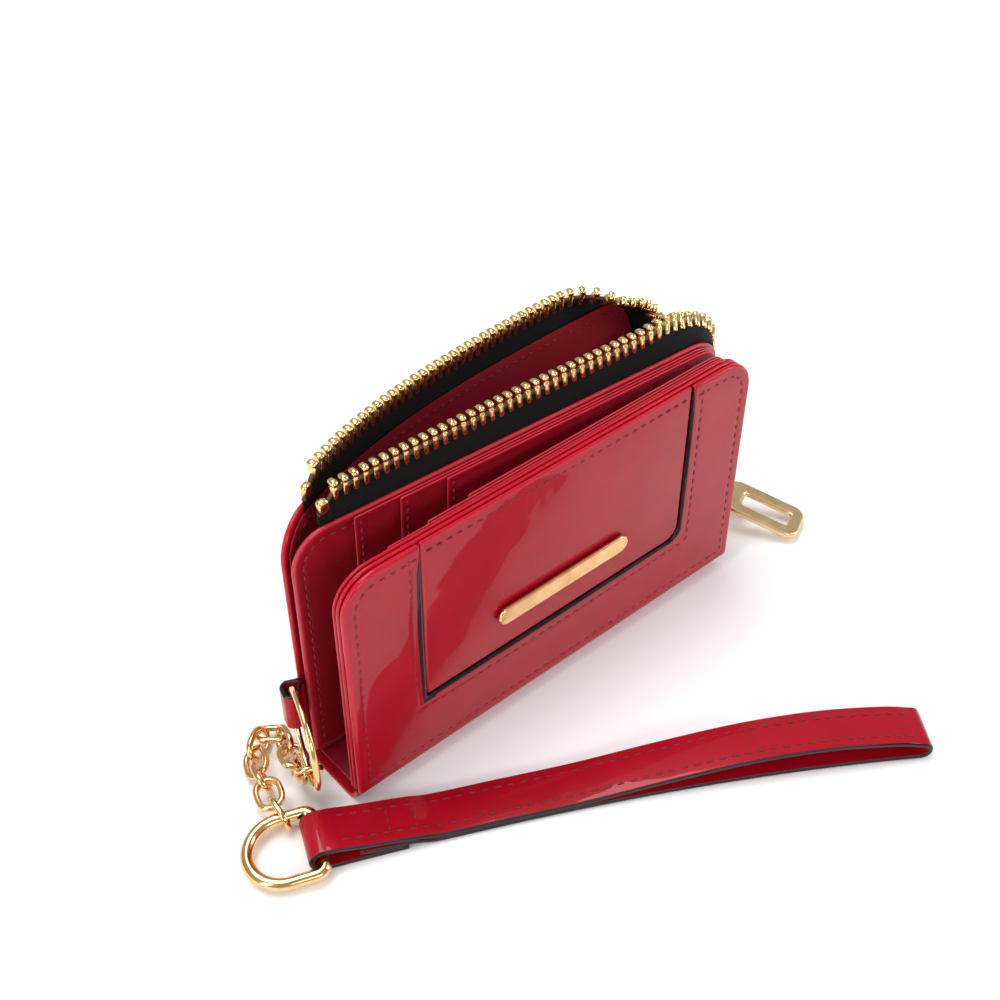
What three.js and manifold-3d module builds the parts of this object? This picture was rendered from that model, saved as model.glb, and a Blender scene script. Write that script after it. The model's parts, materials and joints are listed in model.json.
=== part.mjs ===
// Zip around bifold wallet in patent leather, standing open on its spine, with a chain and a wrist strap.
// Millimetres. X runs along the spine, -Y is the flap's side, +Y the back, +Z up. The origin is on the
// flat land under the spine, midway along it.
import * as THREE from 'three';
import { mergeVertices } from 'three/addons/utils/BufferGeometryUtils.js';
import Module from 'manifold-3d';

const wasm = await Module();
wasm.setup();

// ---- driving dimensions -------------------------------------------------------------------------
const WALLET_WIDTH = 120;          // along the spine
const HALF_WIDTH = WALLET_WIDTH / 2;
const PANEL_HEIGHT = 66;           // every wall, from its fold to its top edge
const CORNER_RADIUS = 9;           // top corners of every wall
const FIT_GAP = 0.3;               // between neighbouring layers
const FOLD_GAP = 0.6;              // between the spine's turned-up edge and the back cover

const COVER_THICKNESS = 1.4;       // back cover leather with its turned edge
const SPINE_THICKNESS = 1.2;
const SPINE_LINING_THICKNESS = 0.5;
const SPINE_LINING_MARGIN = 2;     // spine lining stops this short of both ends
const BACK_PLANE = 6.4;            // mid plane of the back cover along its sewn edges
const FRONT_PLANE = 3.0;           // mid plane of the compartment's front wall along its sewn edges
const FLAP_PLANE = -12.4;          // mid plane of the flap cover
const FRONT_FOLD_RADIUS = 4.5;     // outside radius where the spine turns up into the flap
const BACK_FOLD_RADIUS = 3.5;      // outside radius where the spine turns up into the back cover
const WALL_FOOT = 4.5;             // height at which the standing walls begin
const FLAP_FOOT = 5.1;             // height at which the flap begins

const BACK_BELLY = 22;             // how far the back cover's open corner leans back
const BACK_BULGE = 0.3;            // share of that lean that comes early, as a belly
const FRONT_LEAN = 7;              // how far the front wall's open corner leans forward

const FRONT_WALL_THICKNESS = 1.2;
const LINING_THICKNESS = 0.4;
const TAPE_THICKNESS = 0.5;
const LINING_DROP = 0.4;           // gap between a lining's edge and the tape sewn above it
const TAPE_SEWN = 0.6;             // depth of the tape's hem below the wall's edge
const TAPE_PROUD = 5.9;            // width of the tape that stands out past the wall's edge
const TAPE_LEFT = 8 - HALF_WIDTH;  // where the tapes begin on the top edge
const TAPE_TURN = 16;              // length before the corner over which the tapes lie down inwards
const TAPE_FOOT = 1.5;             // where they end above the foot of the right edge

const TOOTH_PITCH = 2.54;
const TOOTH_WIDTH = 2.8;           // across the tape, from its beaded edge to the tooth's nose
const TOOTH_HALF = 1.35;           // half thickness of a tooth
const BEAD_HALF = 0.6;             // half thickness between two teeth
const STOP_LENGTH = 3;

const SLOT_EDGES = [15, 26, 37.5].map((inset) => inset - HALF_WIDTH);   // folded mouths of the card slots
const SLOT_RIGHT = HALF_WIDTH - 2.7;
const SLOT_THICKNESS = 0.5;
const SLOT_FOOT = 4;

const FLAP_HEIGHT = PANEL_HEIGHT - 1;
const FLAP_COVER_THICKNESS = 1.0;
const FLAP_LINING_THICKNESS = 0.8;
const FRAME_THICKNESS = 1.5;       // leather frame that holds the flap's outer pocket
const FRAME_SIDE = 20;             // width of the frame's two uprights
const FRAME_FOOT = 18.4;           // height of the frame's bottom band
const POCKET_THICKNESS = 0.9;
const POCKET_PUFF = 0.6;           // how far the padded pocket crowns
const BADGE_LENGTH = 40;
const BADGE_HEIGHT = 5;
const BADGE_THICKNESS = 1.2;
const BADGE_ABOVE_FRAME = 12;      // centre of the badge above the frame's bottom band
const BADGE_POST_RADIUS = 0.7;     // two posts hold the badge through the pocket's front
const BADGE_POST_SPACING = 26;
const BADGE_POST_GAP = 0.15;       // round each post

const SLIDER_LENGTH = 11;
const SLIDER_HALF_WIDTH = 5.1;
const SLIDER_PLATE = 1.2;
const SLIDER_FLANGE = 0.9;
const SLIDER_INNER = -2.0;         // reach of the flanges past the line of the teeth
const SLIDER_OUTER = 1.9;          // underside of the outer plate
const ROW_HALF_SPREAD = 2.3;       // each row's distance from the mid plane inside the slider
const BAIL_SECTION = 1.0;
const BAIL_HEIGHT = 7.8;
const BAIL_REACH = 3.8;
const BAIL_WIDTH = 1.6;

const PULL_LENGTH = 27;            // from the eye's centre to the far end
const PULL_WIDTH = 12;
const PULL_THICKNESS = 1.8;
const PULL_SLOT_WIDTH = 5;
const PULL_SLOT_START = 10;
const PULL_END_WALL = 3.6;
const PULL_EYE_RADIUS = 2.8;
const PULL_BORE_RADIUS = 1.6;
const PULL_HEADING = -64;          // degrees from +X, seen from above
const PULL_DROOP = 13.5;           // degrees below level

const TAB_THICKNESS = 1.1;
const TAB_HEIGHT = 10.5;
const TAB_BORE = 1.15;             // radius of the fold that the ring runs through
const TAB_REACH = 3.1;             // from the wallet's edge to the fold's centre

const RING_RADIUS = 11;            // centre line
const TAB_MIDDLE = RING_RADIUS + 11.7;  // height of the tab's middle
const RING_WIRE = 0.75;
const RING_HEADING = [-0.35, -0.937];   // from the tab towards the ring's centre

const LINK_WIRE = 0.8;
const LINK_LENGTH = 7.6;           // centre line, end to end
const LINK_WIDTH = 5.6;            // centre line, side to side

const DRING_WIRE = 1.45;
const DRING_ARM = 7.8;             // straight arms between the bar and the bow
const DRING_CORNER = 2.2;          // radius between the bar and an arm
const DRING_FALL = 0.06;           // slope of the ring from its bar down to its bow
const DRING_ROLL = 0.05;           // slope along the bar

const STRAP_WIDTH = 11.5;
const DRING_HALF = STRAP_WIDTH / 2 + 2.45;   // half of the D-ring's bar, on its centre line
const STRAP_THICKNESS = 1.3;
const STRAP_FLOOR = 0.1;
const STRAP_LENGTH = 144;          // from the D-ring's bar to the far fold
const STRAP_BEND = [75.5, -32.3];  // control point of the strap's curve, from the D-ring's bar, seen from above
const STRAP_END = [127.5, -68.8];

// ---- colours ------------------------------------------------------------------------------------
const leather = (hex) => new THREE.MeshStandardMaterial({ color: hex, roughness: 0.12, metalness: 0 });
const cloth = (hex) => new THREE.MeshStandardMaterial({ color: hex, roughness: 0.85, metalness: 0 });
const metal = () => new THREE.MeshStandardMaterial({ color: 0xe3b566, roughness: 0.2, metalness: 1 });
const RED = 0xb0122a;
const DARK_RED = 0x8c0f22;
const LINING_RED = 0x7d1420;
const BLACK = 0x161313;

const MID_PLANE = (BACK_PLANE - COVER_THICKNESS / 2 + FRONT_PLANE + FRONT_WALL_THICKNESS / 2) / 2;
const wallet = new THREE.Group();

function addMesh(parent, name, geometry, material) {
  const mesh = new THREE.Mesh(geometry, material);
  mesh.name = name;
  parent.add(mesh);
  return mesh;
}

// ---- closed shapes from grids -------------------------------------------------------------------
function signedVolume(positions, index) {
  const [a, b, c] = [new THREE.Vector3(), new THREE.Vector3(), new THREE.Vector3()];
  let total = 0;
  for (let i = 0; i < index.length; i += 3) {
    a.fromArray(positions, 3 * index[i]);
    b.fromArray(positions, 3 * index[i + 1]);
    c.fromArray(positions, 3 * index[i + 2]);
    total += a.dot(b.cross(c)) / 6;
  }
  return total;
}

// Turns a list of points and triangles into a geometry whose faces point out.
function solidFrom(points, index) {
  const positions = points.flatMap((p) => [p.x, p.y, p.z]);
  if (signedVolume(positions, index) < 0) {
    for (let i = 0; i < index.length; i += 3) {
      [index[i + 1], index[i + 2]] = [index[i + 2], index[i + 1]];
    }
  }
  const geometry = new THREE.BufferGeometry();
  geometry.setAttribute('position', new THREE.Float32BufferAttribute(positions, 3));
  geometry.setIndex(index);
  geometry.computeVertexNormals();
  return geometry;
}

// A sheet of even thickness about the surface point(u, v), closed round its four edges.
function sheet(columns, rows, point, thickness) {
  const top = [];
  const bottom = [];
  const step = 1e-4;
  for (let i = 0; i <= columns; i += 1) {
    for (let j = 0; j <= rows; j += 1) {
      const u = i / columns;
      const v = j / rows;
      const du = point(Math.min(u + step, 1), v).sub(point(Math.max(u - step, 0), v));
      const dv = point(u, Math.min(v + step, 1)).sub(point(u, Math.max(v - step, 0)));
      const normal = du.cross(dv).normalize();
      const half = (typeof thickness === 'function' ? thickness(u, v) : thickness) / 2;
      top.push(point(u, v).addScaledVector(normal, half));
      bottom.push(point(u, v).addScaledVector(normal, -half));
    }
  }
  const count = top.length;
  const at = (i, j) => i * (rows + 1) + j;
  const index = [];
  const quad = (a, b, c, d) => index.push(a, b, c, a, c, d);
  for (let i = 0; i < columns; i += 1) {
    for (let j = 0; j < rows; j += 1) {
      quad(at(i, j), at(i + 1, j), at(i + 1, j + 1), at(i, j + 1));
      quad(count + at(i, j), count + at(i, j + 1), count + at(i + 1, j + 1), count + at(i + 1, j));
    }
  }
  const rim = [];
  for (let i = 0; i < columns; i += 1) rim.push(at(i, 0));
  for (let j = 0; j < rows; j += 1) rim.push(at(columns, j));
  for (let i = columns; i > 0; i -= 1) rim.push(at(i, rows));
  for (let j = rows; j > 0; j -= 1) rim.push(at(0, j));
  rim.forEach((a, k) => {
    const b = rim[(k + 1) % rim.length];
    quad(b, a, count + a, count + b);
  });
  return solidFrom([...top, ...bottom], index);
}

// A round wire along a closed flat curve; normal is the curve's plane normal.
function wireLoop(curve, normal, steps, sides, radius) {
  const points = [];
  for (let i = 0; i < steps; i += 1) {
    const centre = curve(i / steps);
    const ahead = curve(((i + 0.5) / steps) % 1).sub(curve(((i - 0.5 + steps) / steps) % 1)).normalize();
    const side = ahead.clone().cross(normal).normalize();
    for (let j = 0; j < sides; j += 1) {
      const angle = (2 * Math.PI * j) / sides;
      points.push(centre.clone()
        .addScaledVector(side, radius * Math.cos(angle))
        .addScaledVector(normal, radius * Math.sin(angle)));
    }
  }
  const index = [];
  for (let i = 0; i < steps; i += 1) {
    const next = (i + 1) % steps;
    for (let j = 0; j < sides; j += 1) {
      const beside = (j + 1) % sides;
      const [a, b] = [i * sides + j, next * sides + j];
      const [c, d] = [next * sides + beside, i * sides + beside];
      index.push(a, b, c, a, c, d);
    }
  }
  return solidFrom(points, index);
}

// Joins or cuts two closed geometries.
function toSolid(geometry) {
  const bare = geometry.clone();
  bare.deleteAttribute('normal');
  bare.deleteAttribute('uv');
  const merged = mergeVertices(bare, 1e-4);
  return new wasm.Manifold(new wasm.Mesh({
    numProp: 3,
    vertProperties: new Float32Array(merged.attributes.position.array),
    triVerts: new Uint32Array(merged.index.array),
  }));
}

function fromSolid(solid) {
  const mesh = solid.getMesh();
  const geometry = new THREE.BufferGeometry();
  geometry.setAttribute('position', new THREE.Float32BufferAttribute(mesh.vertProperties, 3));
  geometry.setIndex([...mesh.triVerts]);
  geometry.computeVertexNormals();
  return geometry;
}

const joined = (first, ...others) => fromSolid(others.reduce((sum, g) => sum.add(toSolid(g)), toSolid(first)));

function block(from, to) {
  const size = from.map((low, i) => to[i] - low);
  const box = new THREE.BoxGeometry(...size);
  return box.translate(...from.map((low, i) => low + size[i] / 2));
}

// ---- the three walls ----------------------------------------------------------------------------
// A wall is a function from (x, height along the leather) to a point; share is 0 at the left edge and
// 1 at the right edge.
const shareOf = (x) => THREE.MathUtils.clamp((x + HALF_WIDTH) / WALLET_WIDTH, 0, 1);

// The back cover leaves the sewn left edge fast and levels out towards its open corner.
function backWall(x, height) {
  const lean = BACK_BELLY * (1 - (1 - shareOf(x)) ** 3);
  const up = height / PANEL_HEIGHT;
  const slope = Math.sqrt(1 - (lean / PANEL_HEIGHT) ** 2);
  const y = BACK_PLANE + lean * up * (1 + BACK_BULGE * (1 - up));
  return new THREE.Vector3(x, y, WALL_FOOT + height * slope);
}

// The front wall leans forward evenly, most at its open corner.
function frontWall(x, height) {
  const lean = FRONT_LEAN * shareOf(x);
  return new THREE.Vector3(x, FRONT_PLANE - (lean * height) / PANEL_HEIGHT, WALL_FOOT + height);
}

const flapWall = (x, height) => new THREE.Vector3(x, FLAP_PLANE, FLAP_FOOT + height);

// A point a given distance off a wall, +distance towards +Y.
function offWall(wall, x, height, distance) {
  const step = 0.01;
  const across = wall(x + step, height).sub(wall(x - step, height));
  const upward = wall(x, height + step).sub(wall(x, height - step));
  const normal = upward.cross(across).normalize();
  return wall(x, height).addScaledVector(normal, distance);
}

// Height of a wall's rounded top outline at x.
function topAt(x, height, radius = CORNER_RADIUS, half = HALF_WIDTH) {
  const inset = Math.max(0, radius - (half - Math.abs(x)));
  return height - radius + Math.sqrt(Math.max(0, radius ** 2 - inset ** 2));
}

// Columns crowd where the corners are round.
function spreadX(u, from, to) {
  const eased = 0.5 - 0.5 * Math.cos(Math.PI * u);
  return from + (to - from) * (0.45 * u + 0.55 * eased);
}

function wallSheet(wall, distance, thickness, { from, to, foot, height, columns, rows, margin = 0 }) {
  const point = (u, v) => {
    const x = spreadX(u, from, to);
    const top = topAt(x, height - margin, CORNER_RADIUS - margin, HALF_WIDTH - margin);
    return offWall(wall, x, foot + (top - foot) * v, distance);
  };
  return sheet(columns, rows, point, thickness);
}

// ---- spine --------------------------------------------------------------------------------------
const BACK_OUTSIDE = BACK_PLANE + COVER_THICKNESS / 2;
const FLAP_OUTSIDE = FLAP_PLANE - FLAP_COVER_THICKNESS / 2;
const FOLD_FRONT = FLAP_OUTSIDE + FRONT_FOLD_RADIUS;
const FOLD_BACK = BACK_OUTSIDE - BACK_FOLD_RADIUS;

// The flat land and the back fold, as an L in the YZ plane carried along X.
function spineGeometry(inset, thickness, length, frontEdge) {
  const shape = new THREE.Shape();
  const outer = BACK_FOLD_RADIUS - inset;
  const inner = outer - thickness;
  const top = WALL_FOOT - FOLD_GAP;
  shape.moveTo(frontEdge, inset);
  shape.lineTo(FOLD_BACK, inset);
  shape.absarc(FOLD_BACK, BACK_FOLD_RADIUS, outer, -Math.PI / 2, 0, false);
  shape.lineTo(FOLD_BACK + outer, top);
  shape.lineTo(FOLD_BACK + inner, top);
  shape.lineTo(FOLD_BACK + inner, BACK_FOLD_RADIUS);
  shape.absarc(FOLD_BACK, BACK_FOLD_RADIUS, inner, 0, -Math.PI / 2, true);
  shape.lineTo(frontEdge, inset + thickness);
  shape.closePath();
  const geometry = new THREE.ExtrudeGeometry(shape, { depth: length, bevelEnabled: false, curveSegments: 5 });
  return geometry.rotateX(Math.PI / 2).rotateZ(Math.PI / 2).translate(-length / 2, 0, 0);
}

// The soft fold between the spine's land and the flap.
function frontFoldGeometry() {
  const radius = FRONT_FOLD_RADIUS - SPINE_THICKNESS / 2;
  const point = (u, v) => {
    const angle = Math.PI * (1 + 0.5 * v);
    return new THREE.Vector3(
      -HALF_WIDTH + WALLET_WIDTH * u,
      FOLD_FRONT - FIT_GAP + radius * Math.cos(angle),
      FRONT_FOLD_RADIUS + radius * Math.sin(angle),
    );
  };
  return sheet(1, 6, point, SPINE_THICKNESS);
}

addMesh(wallet, 'spine', spineGeometry(0, SPINE_THICKNESS, WALLET_WIDTH, FOLD_FRONT), leather(RED));
addMesh(wallet, 'spine_lining', spineGeometry(SPINE_THICKNESS + FIT_GAP, SPINE_LINING_THICKNESS,
  WALLET_WIDTH - 2 * SPINE_LINING_MARGIN, FOLD_FRONT), leather(DARK_RED));
addMesh(wallet, 'flap_fold', frontFoldGeometry(), leather(RED));

// ---- zip compartment ----------------------------------------------------------------------------
const fullWall = { from: -HALF_WIDTH, to: HALF_WIDTH, foot: 0, height: PANEL_HEIGHT };
const BACK_INNER = -(COVER_THICKNESS / 2 + FIT_GAP);
const FRONT_INNER = FRONT_WALL_THICKNESS / 2 + FIT_GAP;
const LINING_MARGIN = TAPE_SEWN + LINING_DROP;
const liningPlace = {
  from: -HALF_WIDTH + LINING_MARGIN,
  to: HALF_WIDTH - LINING_MARGIN,
  foot: 1,
  height: PANEL_HEIGHT,
  margin: LINING_MARGIN,
};

addMesh(wallet, 'back_cover',
  wallSheet(backWall, 0, COVER_THICKNESS, { ...fullWall, columns: 20, rows: 8 }), leather(RED));
addMesh(wallet, 'back_lining',
  wallSheet(backWall, BACK_INNER - LINING_THICKNESS / 2, LINING_THICKNESS,
    { ...liningPlace, columns: 16, rows: 6 }), cloth(LINING_RED));
addMesh(wallet, 'front_wall',
  wallSheet(frontWall, 0, FRONT_WALL_THICKNESS, { ...fullWall, columns: 16, rows: 4 }), leather(DARK_RED));
addMesh(wallet, 'front_wall_lining',
  wallSheet(frontWall, FRONT_INNER + LINING_THICKNESS / 2, LINING_THICKNESS,
    { ...liningPlace, columns: 14, rows: 4 }), cloth(LINING_RED));

// Card slots: each strip lies on the one before it, with its folded mouth further right.
function cardSlots(parent, prefix, wall, side, base, height) {
  SLOT_EDGES.forEach((edge, i) => {
    const distance = base + side * (FIT_GAP + SLOT_THICKNESS / 2 + i * (SLOT_THICKNESS + FIT_GAP));
    const place = { from: edge, to: SLOT_RIGHT, foot: SLOT_FOOT, height, margin: 0.4, columns: 10, rows: 2 };
    addMesh(parent, `${prefix}_card_slot_${i + 1}`,
      wallSheet(wall, distance, SLOT_THICKNESS, place), leather(DARK_RED));
  });
}
cardSlots(wallet, 'front_wall', frontWall, -1, -FRONT_WALL_THICKNESS / 2, PANEL_HEIGHT);

// The fabric gusset folds inwards between the two walls near their open right edges.
function gussetGeometry() {
  const foot = 15;
  const head = 54;
  const mouth = 55;
  const depth = 10;
  const point = (u, v) => {
    const height = foot + (head - foot) * v;
    const front = offWall(frontWall, mouth, height, FRONT_INNER + LINING_THICKNESS + 2 * FIT_GAP);
    const back = offWall(backWall, mouth, height, BACK_INNER - LINING_THICKNESS - 2 * FIT_GAP);
    const place = front.clone().lerp(back, u);
    place.z = front.z;
    place.x -= depth * Math.min(1, (back.y - front.y) / (2 * depth)) * Math.sin(Math.PI * u);
    return place;
  };
  return sheet(8, 4, point, LINING_THICKNESS);
}
addMesh(wallet, 'side_gusset', gussetGeometry(), cloth(LINING_RED));

// ---- zip ----------------------------------------------------------------------------------------
const SIDE_LENGTH = PANEL_HEIGHT - CORNER_RADIUS - TAPE_FOOT;
const TOP_LENGTH = HALF_WIDTH - CORNER_RADIUS - TAPE_LEFT;
const ARC_LENGTH = (Math.PI / 2) * CORNER_RADIUS;
const RUN_LENGTH = TOP_LENGTH + ARC_LENGTH + SIDE_LENGTH;

// Where the run of the zip is on a wall, and the way out of the wall there: turn is 0 on the top edge
// and 90 degrees on the right edge.
function runAt(distance) {
  if (distance <= TOP_LENGTH) {
    return { x: TAPE_LEFT + distance, height: PANEL_HEIGHT, turn: 0 };
  }
  const turn = Math.min((distance - TOP_LENGTH) / CORNER_RADIUS, Math.PI / 2);
  const below = Math.max(0, distance - TOP_LENGTH - ARC_LENGTH);
  return {
    x: HALF_WIDTH - CORNER_RADIUS + CORNER_RADIUS * Math.sin(turn),
    height: PANEL_HEIGHT - CORNER_RADIUS + CORNER_RADIUS * Math.cos(turn) - below,
    turn,
  };
}

// The tape stands up off the top edge and turns in towards the other wall down the right edge.
function tapeFrame(wall, side, offset, lean, distance) {
  const { x, height, turn } = runAt(distance);
  const out = [Math.sin(turn), Math.cos(turn)];
  const on = (reach) => offWall(wall, x + out[0] * reach, height + out[1] * reach, offset);
  const edge = on(FIT_GAP);
  const up = on(1).sub(on(0)).normalize();
  const away = side * (edge.y - MID_PLANE) - ROW_HALF_SPREAD;
  const inward = THREE.MathUtils.clamp(away / TAPE_PROUD, -0.35, 0.96);
  const sideways = new THREE.Vector3(Math.sqrt(1 - inward ** 2), -side * inward, 0);
  const leaning = lean * Math.min(1, shareOf(x) * 2);
  const upward = up.clone().add(new THREE.Vector3(0, -side * leaning, 0)).normalize();
  const before = 0.85 * THREE.MathUtils.smoothstep(distance, TOP_LENGTH - TAPE_TURN, TOP_LENGTH + 4);
  const level = Math.max(Math.sin(turn) ** 2, before);
  const direction = upward.multiplyScalar(1 - level).addScaledVector(sideways, level).normalize();
  const ramp = THREE.MathUtils.clamp(0.25 + distance / 6, 0, 1);
  const tip = edge.clone().addScaledVector(direction, TAPE_PROUD * ramp);
  const guided = THREE.MathUtils.smoothstep(20 - height, 0, 8);
  direction.lerp(new THREE.Vector3(1, 0, 0), guided).normalize();
  return { hem: on(-TAPE_SEWN), edge, tip, direction };
}

function tapeGeometry(frameAt) {
  const point = (u, v) => {
    const { hem, edge, tip } = frameAt(u * RUN_LENGTH);
    return v < 0.4 ? hem.lerp(edge, v / 0.4) : edge.lerp(tip, (v - 0.4) / 0.6);
  };
  return sheet(34, 5, point, TAPE_THICKNESS);
}

// One closed row: teeth stand proud of the beaded edge at every pitch.
function teethGeometry(frameAt) {
  const first = STOP_LENGTH + FIT_GAP;
  const teeth = Math.floor((RUN_LENGTH - first) / TOOTH_PITCH);
  const stations = 2 * teeth;
  const toothed = teeth * TOOTH_PITCH;
  const point = (u, v) => {
    const { tip, direction } = frameAt(first + u * toothed);
    return tip.addScaledVector(direction, FIT_GAP + TOOTH_WIDTH * v);
  };
  const half = (u) => (Math.round(u * stations) % 2 === 1 ? TOOTH_HALF : BEAD_HALF);
  return sheet(stations, 1, point, (u) => 2 * half(u));
}

function stopGeometry(frameAt) {
  const point = (u, v) => {
    const { tip, direction } = frameAt(u * STOP_LENGTH);
    return tip.addScaledVector(direction, FIT_GAP + TOOTH_WIDTH * 0.8 * v);
  };
  return sheet(3, 1, point, 2 * BEAD_HALF);
}

const TAPE_SIDES = {
  back: { wall: backWall, side: 1, offset: BACK_INNER - TAPE_THICKNESS / 2, lean: 0.2 },
  front: { wall: frontWall, side: -1, offset: FRONT_INNER + TAPE_THICKNESS / 2, lean: 0.35 },
};
for (const [name, { wall, side, offset, lean }] of Object.entries(TAPE_SIDES)) {
  const frameAt = (distance) => tapeFrame(wall, side, offset, lean, distance);
  addMesh(wallet, `zip_tape_${name}`, tapeGeometry(frameAt), cloth(BLACK));
  addMesh(wallet, `zip_teeth_${name}`, teethGeometry(frameAt), metal());
  addMesh(wallet, `zip_top_stop_${name}`, stopGeometry(frameAt), metal());
}

// ---- slider and pull ----------------------------------------------------------------------------
// The slider is drawn about the line of the teeth: local +X outwards, local Z along its path.
const ROW_X = HALF_WIDTH + FIT_GAP + Math.sqrt(TAPE_PROUD ** 2 - 1.8 ** 2) + FIT_GAP + TOOTH_WIDTH / 2;
const SLIDER_Z = 8.2;
const sliderGroup = new THREE.Group();
sliderGroup.position.set(ROW_X, MID_PLANE, SLIDER_Z);
wallet.add(sliderGroup);

function sliderGeometry() {
  const half = SLIDER_LENGTH / 2;
  const plateTop = SLIDER_OUTER + SLIDER_PLATE;
  const plate = block([SLIDER_OUTER, -SLIDER_HALF_WIDTH, -half], [plateTop, SLIDER_HALF_WIDTH, half]);
  const flanges = [-1, 1].map((side) => {
    const edges = [side * SLIDER_HALF_WIDTH, side * (SLIDER_HALF_WIDTH - SLIDER_FLANGE)].sort((a, b) => a - b);
    return block([SLIDER_INNER, edges[0], -half], [SLIDER_OUTER + 0.2, edges[1], half]);
  });
  const wedge = block([-1.2, -0.6, half - 3], [SLIDER_OUTER + 0.2, 0.6, half]);
  return joined(plate, ...flanges, wedge);
}

function bailGeometry() {
  const start = SLIDER_OUTER + SLIDER_PLATE + FIT_GAP;
  const end = start + BAIL_REACH;
  const high = BAIL_HEIGHT / 2;
  const width = BAIL_WIDTH / 2;
  const bar = block([end - BAIL_SECTION, -width, -high], [end, width, high]);
  const feet = [-high, high - BAIL_SECTION].map((z) => block([start, -width, z], [end, width, z + BAIL_SECTION]));
  return joined(bar, ...feet);
}
addMesh(sliderGroup, 'zip_slider', sliderGeometry(), metal());
addMesh(sliderGroup, 'slider_bail', bailGeometry(), metal());

// The pull is a rounded plate with a long slot, narrowing to an eye; local +X along it.
function pullGeometry() {
  const half = PULL_WIDTH / 2;
  const shoulder = 9;
  const waist = 4.4;
  const round = 3.2;
  const shape = new THREE.Shape();
  shape.absarc(0, 0, PULL_EYE_RADIUS, Math.PI * 0.3, Math.PI * 1.7, false);
  shape.quadraticCurveTo(waist, -half, shoulder, -half);
  shape.lineTo(PULL_LENGTH - round, -half);
  shape.absarc(PULL_LENGTH - round, -half + round, round, -Math.PI / 2, 0, false);
  shape.lineTo(PULL_LENGTH, half - round);
  shape.absarc(PULL_LENGTH - round, half - round, round, 0, Math.PI / 2, false);
  shape.lineTo(shoulder, half);
  const [eyeX, eyeY] = [PULL_EYE_RADIUS * Math.cos(0.3 * Math.PI), PULL_EYE_RADIUS * Math.sin(0.3 * Math.PI)];
  shape.quadraticCurveTo(waist, half, eyeX, eyeY);
  const bore = new THREE.Path();
  bore.absarc(0, 0, PULL_BORE_RADIUS, 0, 2 * Math.PI, true);
  const slot = new THREE.Path();
  const slotHalf = PULL_SLOT_WIDTH / 2;
  const slotEnd = PULL_LENGTH - PULL_END_WALL;
  slot.moveTo(PULL_SLOT_START, -slotHalf);
  slot.lineTo(PULL_SLOT_START, slotHalf);
  slot.lineTo(slotEnd, slotHalf);
  slot.lineTo(slotEnd, -slotHalf);
  slot.closePath();
  shape.holes.push(bore, slot);
  const geometry = new THREE.ExtrudeGeometry(shape,
    { depth: PULL_THICKNESS, bevelEnabled: false, curveSegments: 6 });
  return geometry.translate(0, 0, -PULL_THICKNESS / 2);
}
const barX = SLIDER_OUTER + SLIDER_PLATE + FIT_GAP + BAIL_REACH - BAIL_SECTION / 2;
const pullGroup = new THREE.Group();
pullGroup.position.set(ROW_X + barX, MID_PLANE, SLIDER_Z);
pullGroup.rotation.set(0, THREE.MathUtils.degToRad(PULL_DROOP), THREE.MathUtils.degToRad(PULL_HEADING), 'ZYX');
wallet.add(pullGroup);
addMesh(pullGroup, 'zip_pull', pullGeometry(), metal());

function bottomStopGeometry() {
  const half = ROW_HALF_SPREAD + 0.7;
  return block([ROW_X - 1.6, MID_PLANE - half, 0.9], [ROW_X + 1.6, MID_PLANE + half, 2.3]);
}
addMesh(wallet, 'zip_bottom_stop', bottomStopGeometry(), metal());

// ---- flap ---------------------------------------------------------------------------------------
const fullFlap = { from: -HALF_WIDTH, to: HALF_WIDTH, foot: 0, height: FLAP_HEIGHT };
const FLAP_FRONT = -(FLAP_COVER_THICKNESS / 2 + FIT_GAP);
const FLAP_INSIDE = FLAP_COVER_THICKNESS / 2 + FIT_GAP;
const OPENING_HALF = HALF_WIDTH - FRAME_SIDE;
const liningFace = FLAP_INSIDE + FLAP_LINING_THICKNESS;

addMesh(wallet, 'flap_cover',
  wallSheet(flapWall, 0, FLAP_COVER_THICKNESS, { ...fullFlap, columns: 14, rows: 1 }), leather(RED));
addMesh(wallet, 'flap_lining',
  wallSheet(flapWall, FLAP_INSIDE + FLAP_LINING_THICKNESS / 2, FLAP_LINING_THICKNESS,
    { ...fullFlap, columns: 14, rows: 1 }), leather(DARK_RED));
cardSlots(wallet, 'flap', flapWall, 1, liningFace, FLAP_HEIGHT);

// The frame is one U of leather: two uprights and a bottom band.
function frameGeometry() {
  const shape = new THREE.Shape();
  const round = 4;
  shape.moveTo(-HALF_WIDTH, 0);
  shape.lineTo(HALF_WIDTH, 0);
  shape.lineTo(HALF_WIDTH, FLAP_HEIGHT - CORNER_RADIUS);
  shape.absarc(HALF_WIDTH - CORNER_RADIUS, FLAP_HEIGHT - CORNER_RADIUS, CORNER_RADIUS, 0, Math.PI / 2, false);
  shape.lineTo(OPENING_HALF, FLAP_HEIGHT);
  shape.lineTo(OPENING_HALF, FRAME_FOOT + round);
  shape.absarc(OPENING_HALF - round, FRAME_FOOT + round, round, 0, -Math.PI / 2, true);
  shape.lineTo(-OPENING_HALF, FRAME_FOOT);
  shape.lineTo(-OPENING_HALF, FLAP_HEIGHT);
  shape.lineTo(-HALF_WIDTH + CORNER_RADIUS, FLAP_HEIGHT);
  shape.absarc(-HALF_WIDTH + CORNER_RADIUS, FLAP_HEIGHT - CORNER_RADIUS, CORNER_RADIUS, Math.PI / 2, Math.PI, false);
  shape.closePath();
  const geometry = new THREE.ExtrudeGeometry(shape,
    { depth: FRAME_THICKNESS, bevelEnabled: false, curveSegments: 6 });
  return geometry.rotateX(Math.PI / 2).translate(0, FLAP_PLANE + FLAP_FRONT, FLAP_FOOT);
}
addMesh(wallet, 'flap_frame', frameGeometry(), leather(RED));

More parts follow.
